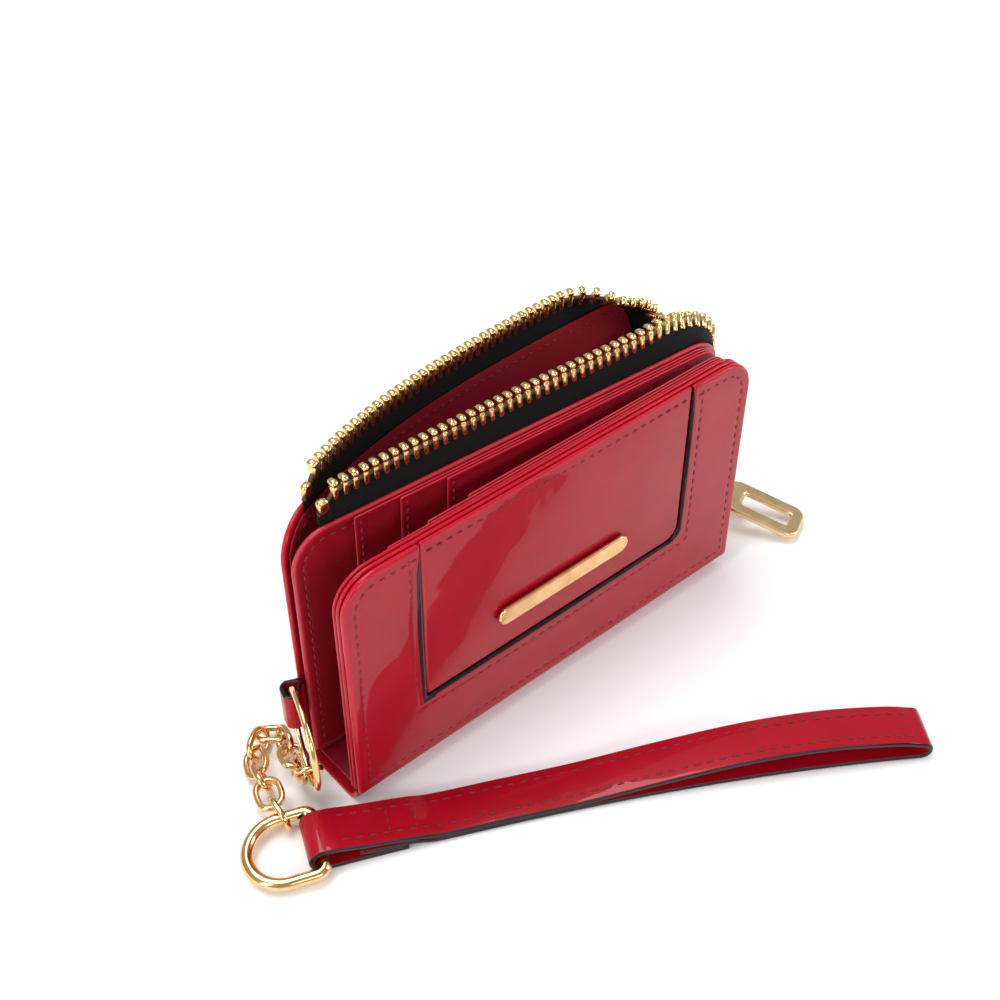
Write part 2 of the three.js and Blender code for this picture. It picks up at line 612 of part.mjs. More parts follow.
// The pocket's padded front crowns between the frame's edges.
const POCKET_MIDDLE = FLAP_PLANE + FLAP_FRONT - POCKET_THICKNESS / 2;
function pocketGeometry() {
  const half = OPENING_HALF - FIT_GAP;
  const foot = FRAME_FOOT + FIT_GAP;
  const round = 4;
  const point = (u, v) => {
    const x = spreadX(u, -half, half);
    const low = foot + (x > half - round ? round - Math.sqrt(round ** 2 - (x - half + round) ** 2) : 0);
    const height = low + (FLAP_HEIGHT - low) * v;
    const crown = POCKET_PUFF * (1 - Math.abs(x / half) ** 3) * (1 - Math.abs(2 * v - 1) ** 3);
    return new THREE.Vector3(x, POCKET_MIDDLE - crown, FLAP_FOOT + height);
  };
  return sheet(14, 8, point, POCKET_THICKNESS);
}

// A plain bar stands in front of the pocket on two posts that go through the pocket's leather.
const badgeZ = FLAP_FOOT + FRAME_FOOT + BADGE_ABOVE_FRAME;
const badgeBack = POCKET_MIDDLE - POCKET_THICKNESS / 2 - POCKET_PUFF - FIT_GAP;
const pocketBack = POCKET_MIDDLE + POCKET_THICKNESS / 2;
function postGeometry(side, radius, from, to) {
  const post = new THREE.CylinderGeometry(radius, radius, to - from, 12);
  return post.translate((side * BADGE_POST_SPACING) / 2, (from + to) / 2, badgeZ);
}
function piercedPocket() {
  const hole = (side) => postGeometry(side, BADGE_POST_RADIUS + BADGE_POST_GAP, badgeBack - 1, pocketBack + 1);
  return fromSolid(toSolid(pocketGeometry()).subtract(toSolid(hole(-1))).subtract(toSolid(hole(1))));
}
addMesh(wallet, 'flap_pocket', piercedPocket(), leather(RED));
function badgeGeometry() {
  const end = BADGE_HEIGHT / 2;
  const straight = BADGE_LENGTH / 2 - end;
  const shape = new THREE.Shape();
  shape.absarc(straight, 0, end, -Math.PI / 2, Math.PI / 2, false);
  shape.absarc(-straight, 0, end, Math.PI / 2, 1.5 * Math.PI, false);
  shape.closePath();
  const geometry = new THREE.ExtrudeGeometry(shape,
    { depth: BADGE_THICKNESS, bevelEnabled: false, curveSegments: 8 });
  const bar = geometry.rotateX(Math.PI / 2).translate(0, badgeBack, badgeZ);
  const posts = [-1, 1].map((side) =>
    postGeometry(side, BADGE_POST_RADIUS, badgeBack - BADGE_THICKNESS / 2, pocketBack - FIT_GAP));
  return joined(bar, ...posts);
}
addMesh(wallet, 'flap_badge', badgeGeometry(), metal());

// ---- side tab and ring --------------------------------------------------------------------------
const fold = new THREE.Vector3(-HALF_WIDTH - FIT_GAP - TAB_REACH, MID_PLANE, TAB_MIDDLE);
const heading = new THREE.Vector3(RING_HEADING[0], RING_HEADING[1], 0).normalize();
const RING_SAG = RING_RADIUS - Math.sqrt(RING_RADIUS ** 2 - (TAB_HEIGHT / 2) ** 2);

// A folded strip of leather: the ring's wire runs through the fold from top to bottom.
function tabGeometry() {
  const far = fold.clone().addScaledVector(heading, RING_SAG);
  const angle = Math.atan2(heading.y, heading.x);
  const oval = (path, radius, clockwise) => {
    const [a, b] = [angle - Math.PI / 2, angle + Math.PI / 2];
    if (clockwise) {
      path.absarc(far.x, far.y, radius, b, a, true);
      path.absarc(fold.x, fold.y, radius, a, b - 2 * Math.PI, true);
    } else {
      path.absarc(far.x, far.y, radius, a, b, false);
    }
  };
  const shape = new THREE.Shape();
  const radius = TAB_BORE + TAB_THICKNESS;
  const root = -HALF_WIDTH - FIT_GAP;
  shape.moveTo(root, MID_PLANE + TAB_THICKNESS);
  shape.absarc(fold.x, fold.y, radius, Math.PI / 2, Math.PI * 0.95, false);
  shape.absarc(far.x, far.y, radius, Math.PI * 1.05, Math.PI * 1.75, false);
  shape.lineTo(root, MID_PLANE - TAB_THICKNESS);
  shape.closePath();
  const bore = new THREE.Path();
  oval(bore, TAB_BORE, true);
  bore.closePath();
  shape.holes.push(bore);
  const geometry = new THREE.ExtrudeGeometry(shape, { depth: TAB_HEIGHT, bevelEnabled: false, curveSegments: 8 });
  return geometry.translate(0, 0, TAB_MIDDLE - TAB_HEIGHT / 2);
}
addMesh(wallet, 'side_tab', tabGeometry(), leather(RED));

const ringCentre = fold.clone().addScaledVector(heading, RING_RADIUS);
function ringGeometry() {
  const up = new THREE.Vector3(0, 0, 1);
  const curve = (u) => ringCentre.clone()
    .addScaledVector(heading, -RING_RADIUS * Math.cos(2 * Math.PI * u))
    .addScaledVector(up, RING_RADIUS * Math.sin(2 * Math.PI * u));
  return wireLoop(curve, heading.clone().cross(up), 36, 8, RING_WIRE);
}
addMesh(wallet, 'tab_ring', ringGeometry(), metal());

// ---- how the chain lies -------------------------------------------------------------------------
// Where each link meets the next, as x and y from the ring's centre and z from the ground. The first
// joint is the ring's lowest point and the last is on the D-ring's upper arm.
const CHAIN_LIE = [[0.25, 2.55, 8.1], [1.35, 7.45, 5.8], [2.75, 12.85, 4.8], [3.95, 18.45, 3.8], [1.05, 20.95, 3.7],
  [-3.85, 17.75, 3.5], [-5.85, 13.05, 3.6], [-7.15, 7.65, 4.6], [-8.65, 3.05, 4.5], [-9.0, -1.46, 3.52]];
const chainJoints = [
  ringCentre.clone().add(new THREE.Vector3(0, 0, -RING_RADIUS)),
  ...CHAIN_LIE.map(([x, y, z]) => new THREE.Vector3(ringCentre.x + x, ringCentre.y + y, z)),
];
const chainEnd = chainJoints[chainJoints.length - 1];

// ---- D-ring -------------------------------------------------------------------------------------
const LINK_SPOT = 6.5;             // how far along its arm the D-ring holds the chain's last link
const strapHeading = new THREE.Vector3(...STRAP_BEND, 0).normalize();
const bowward = strapHeading.clone().negate().setZ(-DRING_FALL).normalize();
const barward = new THREE.Vector3(-strapHeading.y, strapHeading.x, DRING_ROLL).normalize();
const barCentre = chainEnd.clone()
  .addScaledVector(barward, -DRING_HALF).addScaledVector(bowward, -LINK_SPOT);

// A half of the D, mirrored: bar, corner, arm and a quarter of the bow.
function dRingCurve(u) {
  const corner = (Math.PI / 2) * DRING_CORNER;
  const bar = DRING_HALF - DRING_CORNER;
  const arm = DRING_ARM - DRING_CORNER;
  const half = bar + corner + arm + (Math.PI / 2) * DRING_HALF;
  const travel = 2 * Math.min(u, 1 - u) * half;
  let [away, along] = [0, travel];
  if (travel > bar) {
    const turn = Math.min((travel - bar) / DRING_CORNER, Math.PI / 2);
    away = DRING_CORNER * (1 - Math.cos(turn)) + Math.max(0, travel - bar - corner);
    along = bar + DRING_CORNER * Math.sin(turn);
  }
  if (travel > bar + corner + arm) {
    const turn = (travel - bar - corner - arm) / DRING_HALF;
    [away, along] = [DRING_ARM + DRING_HALF * Math.sin(turn), DRING_HALF * Math.cos(turn)];
  }
  return barCentre.clone().addScaledVector(bowward, away).addScaledVector(barward, u < 0.5 ? along : -along);
}

function dRingGeometry() {
  const normal = bowward.clone().cross(barward).normalize();
  return wireLoop(dRingCurve, normal, 40, 8, DRING_WIRE);
}
addMesh(wallet, 'd_ring', dRingGeometry(), metal());

// ---- chain --------------------------------------------------------------------------------------
// Extra reach of a link's end past its joint, where it goes round the ring's or D-ring's own wire.
const RING_REACH = 2.15;
const DRING_REACH = 2.6;
// Roll of each link about its own length, in degrees from standing on edge.
const LINK_ROLLS = [0, 15, -80, 20, -70, 25, -55, 25, -80, 0];

function linkFrame(i) {
  const [start, end] = [chainJoints[i], chainJoints[i + 1]];
  const along = end.clone().sub(start).normalize();
  const centre = start.clone().add(end).multiplyScalar(0.5);
  const last = LINK_ROLLS.length - 1;
  let normal = new THREE.Vector3(0, 0, 1).cross(along).normalize();
  normal.applyAxisAngle(along, THREE.MathUtils.degToRad(LINK_ROLLS[i]));
  if (i === 0) {
    centre.copy(start).addScaledVector(along, LINK_LENGTH / 2 - RING_REACH);
    normal = heading.clone().addScaledVector(along, -heading.dot(along)).normalize();
  }
  if (i === last) {
    centre.copy(end).addScaledVector(along, DRING_REACH - LINK_LENGTH / 2);
    normal = bowward.clone().addScaledVector(along, -bowward.dot(along)).normalize();
  }
  return { centre, along, normal };
}

function linkGeometry(i) {
  const { centre, along, normal } = linkFrame(i);
  const across = normal.clone().cross(along).normalize();
  const round = LINK_WIDTH / 2;
  const straight = LINK_LENGTH / 2 - round;
  const curve = (u) => {
    const angle = 2 * Math.PI * u;
    const shift = straight * Math.tanh(4 * Math.cos(angle));
    return centre.clone()
      .addScaledVector(along, round * Math.cos(angle) + shift)
      .addScaledVector(across, round * Math.sin(angle));
  };
  return wireLoop(curve, normal, 18, 6, LINK_WIRE);
}
LINK_ROLLS.forEach((_, i) => addMesh(wallet, `chain_link_${i + 1}`, linkGeometry(i), metal()));

// ---- wrist strap --------------------------------------------------------------------------------
const strapCurve = new THREE.QuadraticBezierCurve(
  new THREE.Vector2(barCentre.x, barCentre.y),
  new THREE.Vector2(barCentre.x + STRAP_BEND[0], barCentre.y + STRAP_BEND[1]),
  new THREE.Vector2(barCentre.x + STRAP_END[0], barCentre.y + STRAP_END[1]),
);
const CURVE_LENGTH = strapCurve.getLength();
const TOP_PROFILE = [[3, 6.7], [10, 5.4], [20, 4.1], [27, 2.9], [40, 2.7], [60, 2.9], [80, 4.9], [100, 7.0],
  [118, 7.6], [134, 6.6], [STRAP_LENGTH - 2.8, 5.3]];

// Side view of the strap, u along it and z up: outer outline, the eye for the bar, and the open loop.
function strapGeometry() {
  const eyeZ = barCentre.z;
  const eyeOuter = eyeZ - STRAP_FLOOR;
  const eyeInner = eyeOuter - STRAP_THICKNESS;
  const top = new THREE.SplineCurve(TOP_PROFILE.map(([u, z]) => new THREE.Vector2(u, z)));
  const endRadius = (TOP_PROFILE.at(-1)[1] - STRAP_FLOOR) / 2;
  const endU = TOP_PROFILE.at(-1)[0];
  const shape = new THREE.Shape();
  shape.moveTo(0, STRAP_FLOOR);
  for (let u = 6; u < endU; u += 6) shape.lineTo(u, STRAP_FLOOR);
  shape.absarc(endU, STRAP_FLOOR + endRadius, endRadius, -Math.PI / 2, Math.PI / 2, false);
  top.getPoints(26).reverse().slice(1).forEach((p) => shape.lineTo(p.x, p.y));
  shape.absarc(0, eyeZ, eyeOuter, Math.PI / 2, 1.5 * Math.PI, false);
  const eye = new THREE.Path();
  eye.absarc(0, eyeZ, eyeInner, Math.PI / 2, 1.5 * Math.PI, false);
  eye.lineTo(3, 1.9);
  eye.lineTo(7, 3.0);
  eye.lineTo(3, 5.0);
  eye.closePath();
  const loop = new THREE.Path();
  const under = top.getPoints(60).filter((p) => p.x > 64 && p.x < endU - 0.5);
  loop.moveTo(62, STRAP_FLOOR + STRAP_THICKNESS);
  for (let u = 68; u < endU; u += 6) loop.lineTo(u, STRAP_FLOOR + STRAP_THICKNESS);
  loop.absarc(endU, STRAP_FLOOR + endRadius, endRadius - STRAP_THICKNESS, -Math.PI / 2, Math.PI / 2, false);
  under.reverse().forEach((p) => loop.lineTo(p.x, p.y - STRAP_THICKNESS));
  loop.closePath();
  shape.holes.push(eye, loop);
  const flat = new THREE.ExtrudeGeometry(shape, { depth: STRAP_WIDTH, bevelEnabled: false, curveSegments: 8 });
  return bentAlongStrap(flat);
}

// Carries (u, z, across) from the flat side view onto the strap's curve over the floor.
function bentAlongStrap(flat) {
  const place = flat.attributes.position;
  for (let i = 0; i < place.count; i += 1) {
    const [u, z, across] = [place.getX(i), place.getY(i), place.getZ(i) - STRAP_WIDTH / 2];
    const share = THREE.MathUtils.clamp(u / CURVE_LENGTH, 0, 1);
    const centre = strapCurve.getPointAt(share);
    const ahead = strapCurve.getTangentAt(share);
    const over = u - share * CURVE_LENGTH;
    place.setXYZ(i,
      centre.x + ahead.x * over + ahead.y * across,
      centre.y + ahead.y * over - ahead.x * across,
      z);
  }
  return flat;
}
addMesh(wallet, 'wrist_strap', strapGeometry(), leather(RED));

export default wallet;
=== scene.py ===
"""Leather, metal and stitching of a zip around wallet that stands open on its spine.

Lengths are in millimetres until a mesh is made, and in metres from there on.
"""

import json
import math

import bmesh
import bpy
import numpy as np
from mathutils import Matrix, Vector

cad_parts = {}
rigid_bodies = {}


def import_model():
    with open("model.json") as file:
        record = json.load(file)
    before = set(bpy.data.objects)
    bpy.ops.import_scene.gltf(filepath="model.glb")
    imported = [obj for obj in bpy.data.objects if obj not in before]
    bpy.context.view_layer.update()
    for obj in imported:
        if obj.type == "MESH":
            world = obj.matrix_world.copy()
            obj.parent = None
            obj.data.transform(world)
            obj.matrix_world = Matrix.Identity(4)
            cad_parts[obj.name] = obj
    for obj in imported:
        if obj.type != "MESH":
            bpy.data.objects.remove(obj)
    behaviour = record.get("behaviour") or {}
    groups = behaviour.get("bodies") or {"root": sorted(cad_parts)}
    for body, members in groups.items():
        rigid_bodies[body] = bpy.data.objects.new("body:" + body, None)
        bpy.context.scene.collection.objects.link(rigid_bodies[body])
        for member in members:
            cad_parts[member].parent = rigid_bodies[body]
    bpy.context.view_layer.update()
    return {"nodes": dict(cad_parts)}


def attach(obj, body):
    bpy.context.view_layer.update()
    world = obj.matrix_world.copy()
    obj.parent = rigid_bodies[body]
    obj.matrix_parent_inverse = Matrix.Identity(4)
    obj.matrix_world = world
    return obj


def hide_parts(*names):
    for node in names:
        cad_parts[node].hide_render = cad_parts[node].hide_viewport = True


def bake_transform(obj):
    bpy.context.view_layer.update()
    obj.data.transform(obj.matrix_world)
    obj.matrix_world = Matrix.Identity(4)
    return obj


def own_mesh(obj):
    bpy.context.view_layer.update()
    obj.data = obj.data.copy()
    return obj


bl_info = {
    "name": "Zip Around Wallet",
    "version": (1, 0, 0),
    "blender": (4, 5, 0),
    "location": "View3D > Sidebar > Wallet",
    "description": "Leather, zip, chain and wrist strap around the packed wallet",
    "category": "Object",
}

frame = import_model()
MM = 0.001

# ---- the wallet's own sizes ---------------------------------------------------------------------
WIDTH = 120.0
HALF = WIDTH / 2
HEIGHT = 66.0
CORNER = 9.0
GAP = 0.3
COVER_T = 1.4
WALL_T = 1.2
LINING_T = 0.4
TAPE_T = 0.5
SLOT_T = 0.5
BACK_PLANE = 6.4
FRONT_PLANE = 3.0
FLAP_PLANE = -12.4
WALL_FOOT = 4.5
FLAP_FOOT = 5.1
FLAP_HEIGHT = 65.0
FLAP_T = 1.0
FLAP_LINING_T = 0.8
FRAME_T = 1.5
FRAME_SIDE = 20.0
FRAME_FOOT = 18.4
POCKET_T = 0.9
POCKET_PUFF = 0.6
SLOT_EDGES = (-45.0, -34.0, -22.5)
SLOT_RIGHT = 57.3
SLOT_FOOT = 4.0
TAPE_SEWN = 0.6
TAPE_TURN = 16.0
TAPE_PROUD = 5.9
TAPE_LEFT = -52.0
TAPE_FOOT = 1.5
TOOTH_PITCH = 2.54
STOP_LENGTH = 3.0
ROW_SPREAD = 2.3
MID = (BACK_PLANE - COVER_T / 2 + FRONT_PLANE + WALL_T / 2) / 2
ROW_X = HALF + GAP + math.sqrt(TAPE_PROUD**2 - 1.8**2) + GAP + 1.4
SLIDER_Z = 8.2
BAR = np.array([-73.5, -17.2, 3.5])
STRAP_W = 11.5
STRAP_T = 1.3
STRAP_L = 144.0
FOLD = np.array([-HALF - GAP - 3.1, MID, 22.7])
RING_R = 11.0
RING_WIRE = 0.75
D_RING_WIRE = 1.45
TAB_W = 10.5
TAB_T = 1.05
STRAP_SEAM = 3.3


# ---- colours and shader helpers -----------------------------------------------------------------
def linear(hex_colour):
    """sRGB hex to linear RGBA: c/12.92 in the toe, ((c + 0.055)/1.055)^2.4 above it."""
    c = np.array([int(hex_colour[i:i + 2], 16) for i in (1, 3, 5)]) / 255.0
    rgb = np.where(c <= 0.04045, c / 12.92, ((c + 0.055) / 1.055) ** 2.4)
    return (*rgb.tolist(), 1.0)


def add(tree, kind, links=None, **settings):
    """Adds one shader node, sets its properties and links or sets its inputs."""
    made = tree.nodes.new(kind)
    for key, value in settings.items():
        setattr(made, key, value)
    for key, value in (links or {}).items():
        if isinstance(value, bpy.types.NodeSocket):
            tree.links.new(value, made.inputs[key])
        else:
            made.inputs[key].default_value = value
    return made


def new_material(name, **sockets):
    """A material with a Principled shader whose given sockets are set."""
    material = bpy.data.materials.new(name)
    material.use_nodes = True
    shader = material.node_tree.nodes["Principled BSDF"]
    for key, value in sockets.items():
        shader.inputs[key.replace("_", " ")].default_value = value
    return material, material.node_tree, shader


def object_place(tree):
    """A point's place on the object, in metres."""
    return add(tree, "ShaderNodeTexCoord").outputs["Object"]


def mottled(tree, place, size, low, high, detail=3.0):
    """Two colours mixed by soft noise whose patches are about size mm across."""
    noise = add(tree, "ShaderNodeTexNoise", {"Vector": place, "Scale": 1 / (size * MM), "Detail": detail})
    ramp = add(tree, "ShaderNodeValToRGB", {"Fac": noise.outputs["Fac"]})
    ramp.color_ramp.elements[0].color = low
    ramp.color_ramp.elements[1].color = high
    ramp.color_ramp.elements[0].position = 0.3
    ramp.color_ramp.elements[1].position = 0.7
    return ramp.outputs["Color"]


def spread(tree, value, low, high):
    """A value of 0 to 1 carried to low to high."""
    return add(tree, "ShaderNodeMapRange", {"Value": value, "To Min": low, "To Max": high}).outputs["Result"]


def patent(name, low, high, grain_depth=0.00005):
    """Glossy coated leather: a slow swell and a fine grain under a hard clear coat."""
    material, tree, shader = new_material(
        name, Metallic=0.0, Coat_Weight=0.45, Coat_Roughness=0.03, Coat_IOR=1.45, Specular_IOR_Level=0.12)
    place = object_place(tree)
    tree.links.new(mottled(tree, place, 9, low, high), shader.inputs["Base Color"])
    swell = add(tree, "ShaderNodeTexNoise", {"Vector": place, "Scale": 1 / (13 * MM), "Detail": 1.5})
    grain = add(tree, "ShaderNodeTexNoise", {"Vector": place, "Scale": 1 / (0.7 * MM), "Detail": 2.0})
    slow = add(tree, "ShaderNodeBump", {"Height": swell.outputs["Fac"], "Strength": 0.5, "Distance": 0.00045})
    fine = add(tree, "ShaderNodeBump", {
        "Height": grain.outputs["Fac"], "Normal": slow.outputs["Normal"], "Strength": 0.35,
        "Distance": grain_depth})
    tree.links.new(fine.outputs["Normal"], shader.inputs["Normal"])
    tree.links.new(slow.outputs["Normal"], shader.inputs["Coat Normal"])
    tree.links.new(spread(tree, grain.outputs["Fac"], 0.24, 0.38), shader.inputs["Roughness"])
    return material


def smooth_leather(name, low, high, rough=0.42):
    """Satin leather: small pebbles from Voronoi cells over a soft colour drift."""
    material, tree, shader = new_material(name, Coat_Weight=0.15, Coat_Roughness=0.3)
    place = object_place(tree)
    tree.links.new(mottled(tree, place, 5, low, high), shader.inputs["Base Color"])
    cells = add(tree, "ShaderNodeTexVoronoi", {"Vector": place, "Scale": 1 / (0.55 * MM)}, feature="SMOOTH_F1")
    pebble = cells.outputs["Distance"]
    bump = add(tree, "ShaderNodeBump", {"Height": pebble, "Strength": 0.4, "Distance": 0.00006})
    tree.links.new(bump.outputs["Normal"], shader.inputs["Normal"])
    tree.links.new(spread(tree, pebble, rough - 0.06, rough + 0.08), shader.inputs["Roughness"])
    return material


def woven(name, low, high, pitch, slant, rough=0.85, depth=0.00007):
    """Cloth: two crossing sets of sine ridges, one thread pitch apart, tint and raise it."""
    material, tree, shader = new_material(name, Sheen_Weight=0.03, Sheen_Roughness=0.5, Specular_IOR_Level=0.2)
    place = object_place(tree)
    ridges = []
    for turn in (slant, slant + math.pi / 2):
        turned = add(tree, "ShaderNodeMapping", {"Vector": place, "Rotation": (0.0, turn, 0.0)})
        wave = add(tree, "ShaderNodeTexWave", {
            "Vector": turned.outputs["Vector"], "Scale": 0.314 / (pitch * MM), "Distortion": 0.6, "Detail": 1.0})
        ridges.append(wave.outputs["Fac"])
    cross = add(tree, "ShaderNodeMath", {0: ridges[0], 1: ridges[1]}, operation="MULTIPLY").outputs["Value"]
    tint = add(tree, "ShaderNodeMix", {"Factor": cross, 6: low, 7: high}, data_type="RGBA")
    tree.links.new(tint.outputs[2], shader.inputs["Base Color"])
    bump = add(tree, "ShaderNodeBump", {"Height": cross, "Strength": 0.8, "Distance": depth})
    tree.links.new(bump.outputs["Normal"], shader.inputs["Normal"])
    shader.inputs["Roughness"].default_value = rough
    return material


def gilt(name, low, high, rough=(0.12, 0.2)):
    """Light gold plating with faint wear: roughness and tint drift over a few millimetres."""
    material, tree, shader = new_material(name, Metallic=1.0)
    place = object_place(tree)
    tree.links.new(mottled(tree, place, 3, low, high), shader.inputs["Base Color"])
    haze = add(tree, "ShaderNodeTexNoise", {"Vector": place, "Scale": 1 / (0.8 * MM), "Detail": 4.0})
    tree.links.new(spread(tree, haze.outputs["Fac"], *rough), shader.inputs["Roughness"])
    bump = add(tree, "ShaderNodeBump", {"Height": haze.outputs["Fac"], "Strength": 0.12, "Distance": 0.00002})
    tree.links.new(bump.outputs["Normal"], shader.inputs["Normal"])
    return material


def plain_thread(name, low, high):
    """Twisted thread: slanting ridges a third of a millimetre apart."""
    material, tree, shader = new_material(name, Roughness=0.6)
    place = object_place(tree)
    turned = add(tree, "ShaderNodeMapping", {"Vector": place, "Rotation": (0.4, 0.7, 0.5)})
    wave = add(tree, "ShaderNodeTexWave", {"Vector": turned.outputs["Vector"], "Scale": 0.314 / (0.33 * MM)})
    tint = add(tree, "ShaderNodeMix", {"Factor": wave.outputs["Fac"], 6: low, 7: high}, data_type="RGBA")
    tree.links.new(tint.outputs[2], shader.inputs["Base Color"])
    bump = add(tree, "ShaderNodeBump", {"Height": wave.outputs["Fac"], "Strength": 0.6, "Distance": 0.00005})
    tree.links.new(bump.outputs["Normal"], shader.inputs["Normal"])
    return material


MATERIALS = {}


def finish_of(name):
    """The named finish, made once from the looks in the panel."""
    looks = bpy.context.scene.wallet_looks
    makers = {
        "patent red": lambda: patent(name, looks.patent_deep, looks.patent_bright),
        # the patent panels' rims: the same patent red made brighter, a painted highlight on the rounded edges
        "turned edge": lambda: patent(name, linear("#B00D24"), linear("#B71127")),
        "inner leather": lambda: smooth_leather(name, linear("#860A1A"), linear("#960D20")),
        # the inner panels' rims: the same satin leather made brighter, a painted highlight on the rounded and
        # folded edges
        "inner edge": lambda: smooth_leather(name, linear("#A80F24"), linear("#B4152B"), 0.36),
        "red lining": lambda: woven(name, linear("#800A1C"), linear("#B01C36"), 0.55, 0.3),
        "black tape": lambda: woven(name, linear("#050505"), linear("#131212"), 0.6, 0.78),
        "edge paint": lambda: patent(name, linear("#0C0A0B"), linear("#171314"), 0.00003),
        "red thread": lambda: plain_thread(name, linear("#5E0812"), linear("#8C1020")),
        "dark cord": lambda: plain_thread(name, linear("#1A120C"), linear("#6B4F2A")),
        "light gold": lambda: gilt(name, looks.gold_deep, looks.gold_bright),
        "satin gold": lambda: gilt(name, linear("#EBC48F"), linear("#F6DAAE"), (0.26, 0.36)),
        "zip gold": lambda: gilt(name, linear("#E0BC78"), linear("#F3D9A0"), (0.2, 0.3)),
        "studio floor": lambda: new_material(name, Roughness=0.9, Base_Color=linear("#FAFAFA"))[0],
    }
    if name not in MATERIALS:
        MATERIALS[name] = makers[name]()
    return MATERIALS[name]


# ---- meshes -------------------------------------------------------------------------------------
def make_piece(name, points, faces, finishes, body, replaces=(), slot=None, tints=None):
    """Makes one object from points in mm and faces. It rides on its body and stands for the nodes it
    replaces."""
    mesh = bpy.data.meshes.new(name)
    mesh.from_pydata((np.asarray(points) * MM).tolist(), [], [list(map(int, f)) for f in faces])
    for finish in finishes:
        mesh.materials.append(finish_of(finish))
    if tints is not None:
        mesh.polygons.foreach_set("material_index", np.asarray(tints, np.int32))
    work = bmesh.new()
    work.from_mesh(mesh)
    bmesh.ops.recalc_face_normals(work, faces=work.faces)
    work.to_mesh(mesh)
    work.free()
    mesh.polygons.foreach_set("use_smooth", np.ones(len(mesh.polygons), bool))
    mesh.update()
    made = bpy.data.objects.new(name, mesh)
    bpy.context.scene.collection.objects.link(made)
    if body:
        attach(made, body)
    if replaces:
        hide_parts(*replaces)
    return made


def lattice(rows, columns, wrap_rows=False, wrap_columns=False):
    """Quads of a rows by columns grid of points, wrapped round where asked."""
    r = np.arange(rows if wrap_rows else rows - 1)
    c = np.arange(columns if wrap_columns else columns - 1)
    i, j = np.meshgrid(r, c, indexing="ij")
    i2, j2 = (i + 1) % rows, (j + 1) % columns
    quads = np.stack([i * columns + j, i2 * columns + j, i2 * columns + j2, i * columns + j2], -1)
    return quads.reshape(-1, 4)


def capped(rows, columns):
    """Faces of a tube of rows rings with columns points each, its two ends closed."""
    last = (rows - 1) * columns
    ends = [list(range(columns))[::-1], [last + k for k in range(columns)]]
    return lattice(rows, columns, False, True).tolist() + ends


def thick_sheet(grid, half):
    """A sheet's two faces, grid + normal * half and grid - normal * half, joined round its rim."""
    normal = np.cross(np.gradient(grid, axis=0), np.gradient(grid, axis=1))
    normal /= np.linalg.norm(normal, axis=2, keepdims=True)
    ring = np.concatenate([grid + normal * half, (grid - normal * half)[:, ::-1]], axis=1)
    return ring.reshape(-1, 3), capped(*ring.shape[:2])


def straight(start, end, count):
    """count points from start to end: start (1 - t) + end t."""
    t = np.linspace(0, 1, count)[:, None]
    return np.array(start) * (1 - t) + np.array(end) * t


def quarter(centre, radius, start, count):
    """count points of a quarter circle, centre + radius (cos a, sin a), from start quarter turns on."""
    a = math.pi / 2 * (start + np.linspace(0, 1, count))
    return np.array(centre) + radius * np.stack([np.cos(a), np.sin(a)], -1)


def tube(centres, radius, closed, sides=16, plane=None, across=1.0):
    """A round bar: each ring is centre + radius (cos a * side + across sin a * up) along the path."""
    p = np.asarray(centres, float)
    if closed:
        ahead = np.roll(p, -1, 0) - np.roll(p, 1, 0)
    else:
        ahead = np.gradient(p, axis=0)
    ahead /= np.linalg.norm(ahead, axis=1, keepdims=True)
    up = np.tile(np.asarray(plane if plane is not None else (0, 0, 1.0), float), (len(p), 1))
    side = np.cross(ahead, up)
    side /= np.linalg.norm(side, axis=1, keepdims=True)
    up = np.cross(side, ahead)
    a = np.arange(sides) * 2 * math.pi / sides
    r = np.broadcast_to(np.asarray(radius, float), (len(p),))[:, None, None]
    rings = p[:, None] + r * (
        np.cos(a)[None, :, None] * side[:, None] + across * np.sin(a)[None, :, None] * up[:, None])
    faces = lattice(len(p), sides, True, True).tolist() if closed else capped(len(p), sides)
    return rings.reshape(-1, 3), faces


def gather(parts):
    """Joins several (points, faces) into one."""
    points, faces, base = [], [], 0
    for p, f in parts:
        points.append(p)
        faces += [[int(k) + base for k in face] for face in f]
        base += len(p)
    return np.concatenate(points), faces


# points on a panel's long sides, its upright sides and each of its corners
LONG_POINTS, SHORT_POINTS, ARC_POINTS = 46, 26, 9


def rounded_loop(box, radii, inset, along=LONG_POINTS, upright=SHORT_POINTS, arc=ARC_POINTS):
    """One closed outline: the rounded box drawn in by inset, with the same count of points for any inset.
    Straight sides are even steps, corners are arcs of radius r - inset, at least a trace."""
    x0, x1, z0, z1 = box[0] + inset, box[1] - inset, box[2] + inset, box[3] - inset
    room = min(x1 - x0, z1 - z0) / 2
    r = [min(max(k - inset, 0.02), max(room, 0.01)) for k in radii]
    spots = [(x0 + r[0], z0 + r[0], math.pi), (x1 - r[1], z0 + r[1], 1.5 * math.pi),
             (x1 - r[2], z1 - r[2], 0.0), (x0 + r[3], z1 - r[3], 0.5 * math.pi)]
    arcs = []
    for (cx, cz, start), k in zip(spots, r):
        a = start + np.linspace(0, math.pi / 2, arc)
        arcs.append(np.stack([cx + k * np.cos(a), cz + k * np.sin(a)], -1))
    out = []
    for k, count in zip(range(4), (along, upright, along, upright)):
        out.append(arcs[k])
        t = np.linspace(0, 1, count + 2)[1:-1, None]
        out.append(arcs[k][-1] * (1 - t) + arcs[(k + 1) % 4][0] * t)
    return np.concatenate(out)


INSETS = np.array([0, 0.04, 0.14, 0.3, 0.5, 0.75, 1.05, 1.5, 2.1, 2.5, 2.75, 3.0, 3.25, 3.5, 4.0, 5.0, 6.5,
                   8.5, 11, 14, 17.5, 21, 25, 29, 33, 38])


